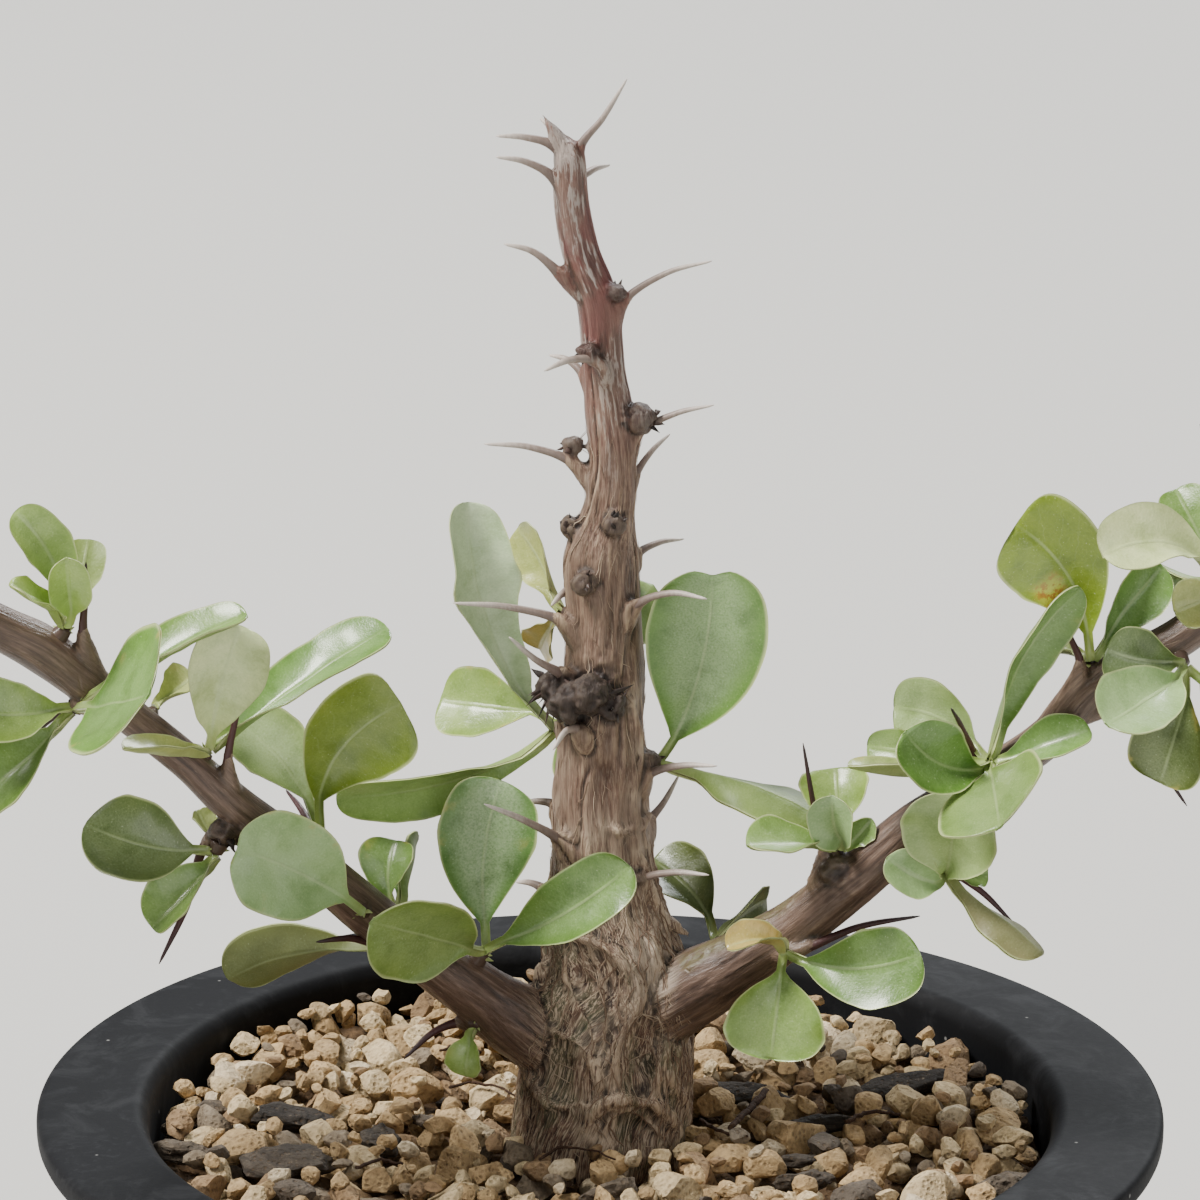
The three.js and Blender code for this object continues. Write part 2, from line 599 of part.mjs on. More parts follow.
        cup: 0.6 },
    ],
  },
  right_leaves_inner_back: {
    bud: { at: [716, 946], y: -1, size: 1.9 },
    leaves: [
      { from: [714, 930], y: 2, tip: [652, 860], tipY: 10.5, wide: 8, turn: 20, sway: 1, cup: 0.6 },
      { from: [720, 930], y: 1, tip: [762, 898], tipY: 7, wide: 5.4, turn: 40, arch: 0.6,
        cup: 0.5 },
    ],
  },
  right_leaves_inner_front: {
    bud: { at: [784, 952], y: -10.2, size: 1.8 },
    leaves: [
      { from: [784, 944], y: -12, tip: [727, 944], tipY: -15, wide: 4.4, turn: 52, arch: 0.3,
        sway: 0.5, cup: 0.7 },
      { from: [793, 955], y: -11.5, tip: [920, 954], tipY: -17, wide: 9.4, turn: 8, arch: 0.8,
        sway: 1.6, cup: 0.6 },
      { from: [782, 961], y: -12, tip: [771, 1060], tipY: -16, wide: 11.8, arch: 0.8, cup: 0.7,
        peak: 0.55 },
    ],
  },
  right_leaves_mid_top: {
    bud: { at: [839, 849], y: -8.6, size: 1.9 },
    leaves: [
      { from: [830, 846], y: -9.5, tip: [748, 841], tipY: -14, wide: 7.4, turn: 58, arch: 0.6,
        cup: 0.5 },
      { from: [839, 838], y: -7.5, tip: [836, 769], tipY: -3.5, wide: 8.2, turn: -10, arch: 0.8,
        cup: 0.8 },
      { from: [847, 842], y: -10, tip: [832, 797], tipY: -14, wide: 5.6, turn: -25, arch: 0.8,
        sway: -0.8, cup: 1 },
      { from: [848, 846], y: -9, tip: [871, 820], tipY: -10, wide: 3.2, turn: 10, cup: 0.4 },
    ],
  },
  right_leaves_mid_under: {
    bud: { at: [944, 866], y: -9.8, size: 2.6 },
    leaves: [
      { from: [940, 882], y: -10.5, tip: [890, 858], tipY: -14.5, wide: 5.4, arch: 0.6,
        sway: -0.6, cup: 0.7 },
      { from: [948, 874], y: -11.5, tip: [958, 793], tipY: -17.5, wide: 11.6, turn: -12, arch: 1,
        cup: 1.2, peak: 0.5 },
      { from: [953, 874], y: -12.4, tip: [989, 872], tipY: -11.5, wide: 3.6, cup: 0.4 },
      { from: [950, 884], y: -12, tip: [1040, 958], tipY: -17, wide: 5.8, turn: 128, sway: -0.4,
        cup: 0.4 },
    ],
  },
  right_leaves_outer: {
    bud: { at: [990, 764], y: -12.8, size: 2 },
    leaves: [
      { from: [994, 752], y: -11.5, tip: [1081, 589], tipY: -14, wide: 6.4, turn: 48, arch: 0.4,
        sway: -2.2, cup: 0.7 },
      { from: [985, 755], y: -10.5, tip: [894, 708], tipY: -6.5, wide: 8.4, turn: -10, arch: 0.4,
        sway: 1.4, cup: 0.6 },
      { from: [983, 768], y: -15, tip: [904, 732], tipY: -20, wide: 8.4, turn: 10, arch: 0.4,
        sway: -1.6, cup: 1.2 },
      { from: [992, 771], y: -15.5, tip: [999, 826], tipY: -29, wide: 14.4, turn: 27, arch: 0.6,
        cup: 0.4, peak: 0.52 },
      { from: [1000, 764], y: -12.5, tip: [1090, 728], tipY: -15, wide: 5.6, turn: -35, arch: 0.8,
        cup: 0.5 },
      { from: [980, 762], y: -13.2, tip: [866, 746], tipY: -7.5, wide: 5, cup: 0.5 },
      { from: [981, 774], y: -13.5, tip: [847, 770], tipY: -13, wide: 4.6, turn: 80, sway: -0.3,
        cup: 0.4 },
    ],
  },
  right_leaves_bend: {
    bud: { at: [1091, 664], y: -10, size: 1.9 },
    leaves: [
      { from: [1088, 651], y: -10.5, tip: [1016, 524], tipY: -9.5, wide: 12.6, arch: 0.8,
        sway: 2.2, cup: 0.8, peak: 0.68 },
      { from: [1097, 653], y: -10, tip: [1163, 566], tipY: -7, wide: 6.2, turn: 20, arch: 0.6,
        sway: -0.4, cup: 0.7 },
      { from: [1085, 658], y: -8.5, tip: [1026, 672], tipY: -4, wide: 6, turn: 60, sway: 1.6,
        cup: 0.5 },
    ],
  },
  right_leaves_far_front: {
    bud: { at: [1184, 665], y: -11, size: 2 },
    leaves: [
      { from: [1180, 660], y: -12, tip: [1106, 650], tipY: -13.5, wide: 6.2, arch: 0.8,
        sway: -0.6, cup: 0.8 },
      { from: [1183, 677], y: -14, tip: [1106, 728], tipY: -24.5, wide: 12, turn: 12, arch: 0.8,
        cup: 0.5, peak: 0.55 },
      { from: [1191, 684], y: -12, tip: [1160, 784], tipY: -14.5, wide: 9.4, turn: 10, arch: 0.8,
        cup: 0.7 },
      { from: [1196, 674], y: -11.5, tip: [1270, 726], tipY: -16, wide: 9, turn: 10, arch: 0.8,
        cup: 0.6 },
    ],
  },
  right_leaves_far_top: {
    bud: { at: [1222, 586], y: -8.6, size: 2 },
    leaves: [
      { from: [1215, 574], y: -11, tip: [1102, 558], tipY: -16, wide: 9.4, turn: 40, arch: 0.4,
        sway: 2.6, cup: 0.6 },
      { from: [1212, 582], y: -7, tip: [1140, 570], tipY: 2, wide: 6.4, turn: -45, arch: 0.2,
        cup: 0.5 },
      { from: [1218, 572], y: -7.5, tip: [1175, 488], tipY: -3, wide: 6.4, turn: 10, arch: 0.8,
        cup: 0.8 },
      { from: [1216, 596], y: -12.5, tip: [1178, 610], tipY: -15, wide: 6, turn: 10, cup: 0.6 },
      { from: [1232, 578], y: -10, tip: [1290, 500], tipY: -13, wide: 8.6, arch: 1, cup: 0.8 },
    ],
  },
  right_leaves_tip_low: {
    bud: { at: [1332, 560], y: -4.6, size: 1.9 },
    leaves: [
      { from: [1332, 570], y: -6, tip: [1310, 660], tipY: -11, wide: 8.6, turn: 10, arch: 0.8,
        cup: 0.6 },
      { from: [1342, 566], y: -5, tip: [1420, 618], tipY: -7, wide: 8.4, turn: -20, arch: 0.8,
        cup: 0.6 },
      { from: [1334, 556], y: -2, tip: [1330, 480], tipY: 7, wide: 8, turn: 20, arch: 0.8,
        cup: 0.7 },
    ],
  },
  right_leaves_tip: {
    bud: { at: [1421, 492], y: -3, size: 2 },
    leaves: [
      { from: [1424, 484], y: -3, tip: [1462, 392], tipY: -5, wide: 8.4, turn: -10, arch: 1,
        cup: 0.8 },
      { from: [1414, 486], y: -4, tip: [1372, 412], tipY: -10, wide: 8, turn: 10, arch: 1,
        cup: 0.8 },
      { from: [1430, 494], y: -2, tip: [1510, 520], tipY: 4, wide: 7.6, arch: 0.8, cup: 0.6 },
      { from: [1420, 484], y: -1, tip: [1405, 440], tipY: 12, wide: 7.6, turn: 170, arch: -0.8,
        cup: 0.6 },
    ],
  },
};

// A leaf's own directions: along it, to its side and out of its upper face
function leafFrame(leaf) {
  const from = sight(leaf.from, leaf.y);
  const tip = sight(leaf.tip, leaf.tipY);
  const along = tip.clone().sub(from).normalize();
  const toEye = eye.clone().sub(from).normalize();
  const face = toEye.addScaledVector(along, -toEye.dot(along)).normalize();
  const right = new THREE.Vector3().crossVectors(along, face);
  const turn = THREE.MathUtils.degToRad(leaf.turn ?? 0);
  const up = face.clone().multiplyScalar(Math.cos(turn)).addScaledVector(right, Math.sin(turn));
  const side = new THREE.Vector3().crossVectors(along, up);
  return { from, tip, along, face, right, up, side };
}

// Half the blade's width at a share of its length: a narrow stalk, then a blade widest near peak
function leafHalfWidth(leaf, share) {
  const stalkEnd = 0.14;
  const peak = leaf.peak ?? 0.6;
  const stalk = petioleWidth / 2;
  if (share <= stalkEnd) return stalk;
  const s = (share - stalkEnd) / (1 - stalkEnd);
  const rise = 1.15;
  const fall = (rise * (1 - peak)) / peak;
  const shape = (s / peak) ** rise * ((1.0001 - s) / (1 - peak)) ** (0.62 * fall);
  return stalk + Math.max(0, leaf.wide / 2 - stalk) * Math.min(1, shape);
}

// A thin closed blade: a six-sided section, three points on each face, at a few shares of its length
function leafSolid(leaf, bud) {
  const { from, tip, along, face, right, up, side } = leafFrame(leaf);
  const shares = [0.15, 0.38, 0.64, 0.87, 1];
  const sections = shares.map((share) => {
    const bend = 4 * share * (1 - share);
    const rib = from
      .clone()
      .lerp(tip, share)
      .addScaledVector(face, (leaf.arch ?? 0) * bend)
      .addScaledVector(right, (leaf.sway ?? 0) * bend);
    const tipWidth = share === 1 ? 0.22 * leaf.wide : leafHalfWidth(leaf, share);
    const lift = (leaf.cup ?? 0) * Math.sin(Math.PI * Math.min(1, share)) ** 0.5;
    const dip = share === 1 ? leaf.notch ?? 0 : 0;
    const edge = (sign) =>
      rib.clone().addScaledVector(side, sign * tipWidth).addScaledVector(up, lift);
    return { left: edge(-1), rib: rib.addScaledVector(along, -dip), right: edge(1) };
  });
  const root = sight(bud.at, bud.y);
  root.addScaledVector(from.clone().sub(root).normalize(), 0.3 * bud.size);
  const stub = petioleWidth / 2;
  sections.unshift({
    left: root.clone().addScaledVector(side, -stub),
    rib: root.clone(),
    right: root.clone().addScaledVector(side, stub),
  });
  const half = leafThickness / 2;
  const above = (point) => point.clone().addScaledVector(up, half);
  const below = (point) => point.clone().addScaledVector(up, -half);
  return loftedSolid(
    sections.map((s) => [
      above(s.left),
      above(s.rib),
      above(s.right),
      below(s.right),
      below(s.rib),
      below(s.left),
    ]),
  );
}

function budSolid(bud) {
  const ball = new THREE.OctahedronGeometry(1.2 * bud.size, 0);
  const place = sight(bud.at, bud.y);
  return toSolid(ball.translate(place.x, place.y, place.z));
}

// Soil: a plug that fills the pot, paved with angular grains and a few flat bark chips
const grainSize = 4.7;
const grainCount = 76;
const barkChips = [
  { at: [287, 1084], y: 2, size: [6.5, 4.4, 2.2], turn: 15 },
  { at: [282, 1136], y: -12, size: [7, 4, 3], turn: -20 },
  { at: [380, 1102], y: -4, size: [3.2, 4.6, 2.6], turn: 10 },
  { at: [432, 1094], y: 2, size: [3.4, 1.8, 1.6], turn: 0 },
  { at: [903, 1060], y: 14, size: [7, 4.2, 2.2], turn: 25 },
  { at: [747, 1078], y: 12, size: [6.6, 3.8, 2], turn: -15 },
  { at: [820, 1110], y: 2, size: [5.6, 2.4, 1.8], turn: 10 },
  { at: [798, 1155], y: -14, size: [4.6, 2.4, 1.8], turn: 20 },
];

// An uneven stone: a block with jogged corners, tipped and turned
function stoneGeometry(random, sizes, tip, turn) {
  const block = new THREE.BoxGeometry(1.5, 1.5, 1.5);
  block.deleteAttribute("normal");
  block.deleteAttribute("uv");
  const stone = mergeVertices(block);
  const position = stone.attributes.position;
  for (let i = 0; i < position.count; i++) {
    const jog = 0.8 + 0.4 * random();
    position.setXYZ(i, position.getX(i) * jog, position.getY(i) * jog, position.getZ(i) * jog);
  }
  stone.scale(...sizes);
  stone.rotateX(tip);
  stone.rotateZ(turn);
  return stone;
}

function soilSolid(stemCut) {
  const random = seeded(7);
  const top = potHeight - soilDepthBelowRim;
  const wall = mouthRadius - 0.3 - clearGap;
  const bottomRadius = baseRadius - wallThickness - 3 - clearGap;
  const bottom = floorThickness + clearGap;
  const profile = [
    [0, bottom],
    [bottomRadius - 0.3, bottom],
    [bottomRadius + 2.6, bottom + 3.2],
    [wall - 1, top - 6],
    [wall - 1, top - 2],
    [0, top - 2],
  ];
  const plug = new THREE.LatheGeometry(profile.map(([r, z]) => new THREE.Vector2(r, z)), potSides);
  const parts = [toSolid(plug.rotateX(Math.PI / 2))];
  const goldenAngle = Math.PI * (3 - Math.sqrt(5));
  const spread = wall - 0.55 * grainSize;
  for (let i = 0; i < grainCount; i++) {
    const radius = spread * Math.sqrt((i + 0.5) / grainCount);
    const angle = i * goldenAngle + 0.3 * (random() - 0.5);
    if (radius < 11) continue;
    const sizes = [grainSize * (0.9 + 0.35 * random()), grainSize * (0.8 + 0.3 * random()), 3];
    const stone = stoneGeometry(random, sizes, 0.6 * (random() - 0.5), random() * Math.PI);
    const rise = top - 1.9 + 1.3 * random() + 0.8 * (radius / spread) ** 3;
    stone.translate(radius * Math.cos(angle), radius * Math.sin(angle), rise);
    parts.push(toSolid(stone));
  }
  for (const chip of barkChips) {
    const place = sight(chip.at, chip.y);
    const stone = stoneGeometry(random, chip.size, 0, THREE.MathUtils.degToRad(chip.turn));
    parts.push(toSolid(stone.translate(place.x, place.y, top)));
  }
  const boreShape = new THREE.CylinderGeometry(wall, wall, 2 * potHeight, potSides);
  const bore = toSolid(boreShape.rotateX(Math.PI / 2));
  return largestBody(joined(parts).intersect(bore).subtract(stemCut));
}

// Materials, with the colours seen on the real plant
function finish(color, roughness) {
  return new THREE.MeshStandardMaterial({ color, roughness, metalness: 0 });
}
const potFinish = finish(0x17191b, 0.6);
const soilFinish = finish(0xa98f68, 0.95);
const barkFinish = finish(0x4e3a33, 0.75);
const leafFinish = finish(0x66854c, 0.4);

const plant = new THREE.Group();

function addNode(name, solid, material) {
  const mesh = new THREE.Mesh(toGeometry(solid), material);
  mesh.name = name;
  plant.add(mesh);
}

const stem = stemSolid();
const stemCut = stemSolid(clearGap);

addNode("pot", potSolid(), potFinish);
addNode("soil", soilSolid(stemCut), soilFinish);
addNode("stem", stem, barkFinish);
for (const [name, bunch] of Object.entries(bunches)) {
  const blades = bunch.leaves.map((leaf) => leafSolid(leaf, bunch.bud));
  const whole = joined([budSolid(bunch.bud), ...blades]);
  addNode(name, largestBody(whole.subtract(stemCut)), leafFinish);
}

export default plant;
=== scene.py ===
# Potted Fouquieria formosa: a wide-brimmed pot, gritty soil, a spiny stem and bunches of leaves.
# Shapes are worked out in millimetres and written in metres.
import math

import bmesh
import bpy
import numpy as np
from mathutils import Matrix, Vector
from mathutils.bvhtree import BVHTree
from mathutils.kdtree import KDTree


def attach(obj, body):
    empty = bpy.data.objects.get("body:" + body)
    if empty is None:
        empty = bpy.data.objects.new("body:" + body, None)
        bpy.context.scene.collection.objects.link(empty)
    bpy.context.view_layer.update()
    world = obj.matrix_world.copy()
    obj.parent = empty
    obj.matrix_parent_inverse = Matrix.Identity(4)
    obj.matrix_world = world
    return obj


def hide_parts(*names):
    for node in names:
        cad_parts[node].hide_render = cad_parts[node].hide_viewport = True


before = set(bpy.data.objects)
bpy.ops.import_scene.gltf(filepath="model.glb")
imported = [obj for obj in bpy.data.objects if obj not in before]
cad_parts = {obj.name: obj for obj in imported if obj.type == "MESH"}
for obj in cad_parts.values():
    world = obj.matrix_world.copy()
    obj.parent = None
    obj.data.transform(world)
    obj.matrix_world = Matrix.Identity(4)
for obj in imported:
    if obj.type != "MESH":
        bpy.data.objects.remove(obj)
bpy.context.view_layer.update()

metre = 0.001

# The front view that places are read from: 1200 by 1200 units, camera in millimetres
frontView = {
    "centre": 600,
    "scale": 5000,
    "distance": 552.3,
    "rise": 211.4,
    "pitch": math.radians(15.31),
    "roll": math.radians(0.22),
    "shift": 0.25,
}

pot = {
    "height": 82.0,
    "rimRadius": 66.0,
    "brimThickness": 3.2,
    "mouthRadius": 53.0,
    "baseRadius": 42.0,
    "floorThickness": 4.0,
    "wallThickness": 3.0,
    "holeRadius": 3.5,
    "holeRing": 25.0,
    "holeCount": 4,
    "sides": 256,
}

eye = np.array([-frontView["shift"], -frontView["distance"], pot["height"] + frontView["rise"]])


# The point seen at a place of the front view, on the upright plane y behind the middle
def sight(at, y):
    dx = at[0] - frontView["centre"]
    dy = at[1] - frontView["centre"]
    cosRoll, sinRoll = math.cos(frontView["roll"]), math.sin(frontView["roll"])
    u = cosRoll * dx + sinRoll * dy
    v = cosRoll * dy - sinRoll * dx
    cosPitch, sinPitch = math.cos(frontView["pitch"]), math.sin(frontView["pitch"])
    t = (frontView["distance"] + y) / (frontView["scale"] * cosPitch - v * sinPitch)
    z = eye[2] - t * (frontView["scale"] * sinPitch + v * cosPitch)
    return np.array([u * t - frontView["shift"], y, z])


def unit(v):
    return v / max(1e-9, float(np.linalg.norm(v)))


def smooth(low, high, x):
    t = np.clip((x - low) / (high - low), 0, 1)
    return t * t * (3 - 2 * t)


def colour(red, green, blue):
    def linear(c):
        c = c / 255
        return c / 12.92 if c <= 0.04045 else ((c + 0.055) / 1.055) ** 2.4

    return (linear(red), linear(green), linear(blue))


# Smooth noise from -1 to 1 over points, and its sum over finer and finer layers
def cellValue(cell, seed):
    mask = np.int64(0xFFFFFFFF)
    h = (cell[..., 0] * 374761393 + cell[..., 1] * 668265263 + cell[..., 2] * 2147483647) & mask
    h = (h + seed * 1274126177) & mask
    h = ((h ^ (h >> 13)) * 1274126177) & mask
    h = ((h ^ (h >> 15)) * 668265263) & mask
    return ((h ^ (h >> 16)) & 0xFFFF) / 32767.5 - 1


def noiseAt(points, seed=0):
    cell = np.floor(points).astype(np.int64)
    part = points - cell
    part = part * part * (3 - 2 * part)
    total = 0
    for corner in range(8):
        step = np.array([corner & 1, (corner >> 1) & 1, (corner >> 2) & 1])
        weight = np.prod(np.where(step == 1, part, 1 - part), axis=-1)
        total = total + weight * cellValue(cell + step, seed)
    return total


def layeredNoise(points, layers=3, seed=0, fade=0.5):
    total, size = 0, 1.0
    for layer in range(layers):
        total = total + size * noiseAt(points * 2.03**layer + 17.3 * layer, seed + layer)
        size *= fade
    return total


# A smooth curve through points, at shares of its length in steps
def curveAt(points, share):
    last = len(points) - 1
    p = min(max(share, 0), 1) * last
    i = min(int(p), last - 1)
    w = p - i
    p1, p2 = points[i], points[i + 1]
    p0 = points[i - 1] if i > 0 else 2 * p1 - p2
    p3 = points[i + 2] if i + 2 <= last else 2 * p2 - p1
    steps = ((p0, p1), (p1, p2), (p2, p3))
    d0, d1, d2 = (max(1e-4, np.linalg.norm(b - a)) ** 0.5 for a, b in steps)
    t1 = ((p1 - p0) / d0 - (p2 - p0) / (d0 + d1) + (p2 - p1) / d1) * d1
    t2 = ((p2 - p1) / d1 - (p3 - p1) / (d1 + d2) + (p3 - p2) / d2) * d1
    return (
        p1 + t1 * w + (-3 * p1 + 3 * p2 - 2 * t1 - t2) * w**2 + (2 * p1 - 2 * p2 + t1 + t2) * w**3
    )


# A shape is a dictionary of points, faces and fields that hold a value for each point
def spreadOut(value, count):
    value = np.asarray(value, dtype=float)
    if value.ndim and len(value) == count:
        return value
    return np.broadcast_to(value, (count,) + value.shape)


def shape(points, faces, **fields):
    points = np.asarray(points, dtype=float)
    spread = {name: spreadOut(value, len(points)) for name, value in fields.items()}
    return {"points": points, "faces": [np.asarray(f) for f in faces], "fields": spread}


def gathered(shapes):
    offset = 0
    faces = []
    for one in shapes:
        faces += [f + offset for f in one["faces"]]
        offset += len(one["points"])
    bySize = {}
    for f in faces:
        bySize.setdefault(f.shape[1], []).append(f)
    names = shapes[0]["fields"].keys()
    return {
        "points": np.concatenate([s["points"] for s in shapes]),
        "faces": [np.concatenate(f) for f in bySize.values()],
        "fields": {n: np.concatenate([s["fields"][n] for s in shapes]) for n in names},
    }


def makePiece(name, whole, material, nodes=()):
    mesh = bpy.data.meshes.new(name)
    points, faces = whole["points"], whole["faces"]
    mesh.vertices.add(len(points))
    mesh.vertices.foreach_set("co", (points * metre).astype(np.float32).ravel())
    corners = np.concatenate([f.ravel() for f in faces]).astype(np.int32)
    sizes = np.concatenate([np.full(len(f), f.shape[1]) for f in faces])
    mesh.loops.add(len(corners))
    mesh.loops.foreach_set("vertex_index", corners)
    mesh.polygons.add(len(sizes))
    starts = np.concatenate([[0], np.cumsum(sizes)[:-1]]).astype(np.int32)
    mesh.polygons.foreach_set("loop_start", starts)
    mesh.update(calc_edges=True)
    mesh.validate()
    mesh.shade_smooth()
    for field, values in whole["fields"].items():
        kind = "FLOAT" if values.ndim == 1 else "FLOAT_VECTOR"
        part = "value" if values.ndim == 1 else "vector"
        store = mesh.attributes.new(field, kind, "POINT")
        store.data.foreach_set(part, values.astype(np.float32).ravel())
    mesh.materials.append(material)
    piece = bpy.data.objects.new(name, mesh)
    bpy.context.scene.collection.objects.link(piece)
    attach(piece, "root")
    if nodes:
        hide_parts(*nodes)
    return piece


def gridFaces(rows, columns, closed=False):
    across = columns if closed else columns - 1
    i, j = np.meshgrid(np.arange(rows - 1), np.arange(across), indexing="ij")
    a = i * columns + j
    b = i * columns + (j + 1) % columns
    return np.stack([a, b, b + columns, a + columns], axis=-1).reshape(-1, 4)


# Directions square to a line of points, carried along it without twisting
def framesAlong(line, first=None):
    ahead = np.gradient(line, axis=0)
    ahead /= np.maximum(1e-9, np.linalg.norm(ahead, axis=1, keepdims=True))
    side = np.zeros_like(line)
    start = first if first is not None else np.array([0.31, 0.52, 0.79])
    for i, a in enumerate(ahead):
        start = unit(start - a * np.dot(a, start))
        side[i] = start
    return ahead, side, np.cross(ahead, side)


def tube(line, radii, sides=8, flat=1.0, first=None, **fields):
    line = np.asarray(line, dtype=float)
    radii = np.asarray(radii, dtype=float)
    ahead, side, front = framesAlong(line, first)
    angle = np.linspace(0, 2 * math.pi, sides, endpoint=False)
    ring = side[:, None] * np.cos(angle)[None, :, None]
    ring = ring + front[:, None] * (flat * np.sin(angle))[None, :, None]
    body = line[:, None] + ring * radii[:, None, None]
    count = len(line)
    points = np.concatenate([body.reshape(-1, 3), line[:1], line[-1:]])
    j = np.arange(sides)
    foot, tip = count * sides, count * sides + 1
    low = np.stack([np.full(sides, foot), (j + 1) % sides, j], axis=-1)
    top = (count - 1) * sides
    high = np.stack([np.full(sides, tip), top + j, top + (j + 1) % sides], axis=-1)
    spread = {}
    for name, values in fields.items():
        values = np.asarray(values, dtype=float)
        if values.ndim and len(values) == count:
            rows = np.repeat(values, sides, axis=0)
            values = np.concatenate([rows, values[:1], values[-1:]])
        spread[name] = values
    return shape(points, [gridFaces(count, sides, True), np.concatenate([low, high])], **spread)


# A profile of radius and height, turned about the upright middle line
def turnedProfile(rows, sides):
    angle = np.linspace(0, 2 * math.pi, sides, endpoint=False)
    height = np.broadcast_to(rows[:, 1:], (len(rows), sides))
    return np.stack([rows[:, :1] * np.cos(angle), rows[:, :1] * np.sin(angle), height], -1)


# A ball of small triangles, with its points on the unit sphere
def ballOf(level):
    work = bmesh.new()
    bmesh.ops.create_icosphere(work, subdivisions=level, radius=1)
    points = np.array([v.co[:] for v in work.verts])
    faces = np.array([[v.index for v in f.verts] for f in work.faces])
    work.free()
    return points, faces


# A node tree, with a short name for each kind of step in it
class Steps:
    def __init__(self, tree):
        self.tree = tree

    def node(self, kind, inputs=None, **settings):
        made = self.tree.nodes.new("ShaderNode" + kind)
        for key, value in settings.items():
            setattr(made, key, value)
        for key, value in (inputs or {}).items():
            self.give(made.inputs[key], value)
        return made

    def give(self, socket, value):
        if isinstance(value, bpy.types.NodeSocket):
            self.tree.links.new(value, socket)
        elif isinstance(value, tuple) and len(value) == 3 and socket.type == "RGBA":
            socket.default_value = (*value, 1)
        else:
            socket.default_value = value

    # Sets the skin's sockets: links for what varies, plain values for what is the same all over
    def skin(self, **inputs):
        sockets = self.tree.nodes["Principled BSDF"].inputs
        for name, value in inputs.items():
            self.give(sockets[socketNames[name]], value)

    def field(self, name, part="Fac"):
        return self.node("Attribute", attribute_name=name).outputs[part]

    def place(self):
        return self.node("TexCoord").outputs["Object"]

    def mix(self, share, first, second, mode="MIX"):
        inputs = {0: share, 6: first, 7: second}
        return self.node("Mix", inputs, data_type="RGBA", blend_type=mode).outputs[2]

    # A tone laid over another by a mask and how strongly it shows
    def over(self, base, mask, strength, tone):
        return self.mix(self.times(mask, strength), base, tone)

    def tinted(self, first, second):
        return self.mix(1.0, first, second, "MULTIPLY")

    def math(self, operation, first, second=0.0, third=0.0):
        return self.node("Math", {0: first, 1: second, 2: third}, operation=operation).outputs[0]

    def times(self, first, second):
        return self.math("MULTIPLY", first, second)

    # A value times a factor, plus a third
    def scaled(self, value, factor, plus):
        return self.math("MULTIPLY_ADD", value, factor, plus)

    def larger(self, first, second):
        return self.math("MAXIMUM", first, second)

    def less(self, first, second):
        return self.math("SUBTRACT", first, second)

    def ranged(self, value, low, high, toLow=0.0, toHigh=1.0):
        inputs = {"From Min": low, "From Max": high, "To Min": toLow, "To Max": toHigh}
        inputs = {"Value": value, **inputs}
        return self.node("MapRange", inputs, interpolation_type="SMOOTHSTEP").outputs[0]

    def noise(self, place, scale, detail=3.0, roughness=0.55, distortion=0.0, **settings):
        inputs = {"Vector": place, "Scale": scale, "Detail": detail}
        inputs = {**inputs, "Roughness": roughness, "Distortion": distortion}
        return self.node("TexNoise", inputs, **settings).outputs[0]

    def cells(self, place, scale, feature="F1"):
        return self.node("TexVoronoi", {"Vector": place, "Scale": scale}, feature=feature).outputs

    def stretched(self, place, factors):
        made = self.node("VectorMath", {0: place, 1: factors}, operation="MULTIPLY")
        return made.outputs[0]

    def ramp(self, value, stops):
        made = self.node("ValToRGB", {0: value})
        band = made.color_ramp
        while len(band.elements) < len(stops):
            band.elements.new(0.5)
        for element, (position, tone) in zip(band.elements, stops):
            element.position = position
            element.color = (*tone, 1)
        return made.outputs[0]

    def raised(self, height, distance, strength=1.0):
        inputs = {"Height": height, "Distance": distance, "Strength": strength}
        return self.node("Bump", inputs).outputs[0]

    # Fine mottling from the shared group: its mask, and its relief as a normal
    def mottled(self, place, scale, detail, coarseness, relief=0.0001, strength=0.5):
        made = self.tree.nodes.new("ShaderNodeGroup")
        made.node_tree = mottling
        self.tree.links.new(place, made.inputs["Place"])
        values = {"Scale": scale, "Detail": detail, "Coarseness": coarseness}
        for name, value in {**values, "Relief": relief, "Strength": strength}.items():
            made.inputs[name].default_value = value
        return made.outputs["Mottle"], made.outputs["Normal"]


socketNames = {
    "tone": "Base Color",
    "roughness": "Roughness",
    "shine": "Specular IOR Level",
    "coat": "Coat Weight",
    "coatRoughness": "Coat Roughness",
    "normal": "Normal",
}


def newMaterial(name):
    material = bpy.data.materials.new(name)
    material.use_nodes = True
    return material, Steps(material.node_tree)


# Fine mottling that several materials share: a broken grain as a mask, its relief as a normal
def mottlingGroup():
    group = bpy.data.node_groups.new("fine_mottling", "ShaderNodeTree")
    numbers = ("Scale", "Detail", "Coarseness", "Relief", "Strength")
    sockets = [("Place", "Vector", "INPUT")] + [(name, "Float", "INPUT") for name in numbers]
    sockets += [("Mottle", "Float", "OUTPUT"), ("Normal", "Vector", "OUTPUT")]
    for name, kind, way in sockets:
        group.interface.new_socket(name, in_out=way, socket_type="NodeSocket" + kind)
    given = group.nodes.new("NodeGroupInput").outputs
    result = group.nodes.new("NodeGroupOutput").inputs
    on = Steps(group)
    mask = on.noise(given["Place"], given["Scale"], given["Detail"], given["Coarseness"])
    normal = on.raised(mask, given["Relief"], given["Strength"])
    group.links.new(mask, result["Mottle"])
    group.links.new(normal, result["Normal"])
    return group


mottling = mottlingGroup()


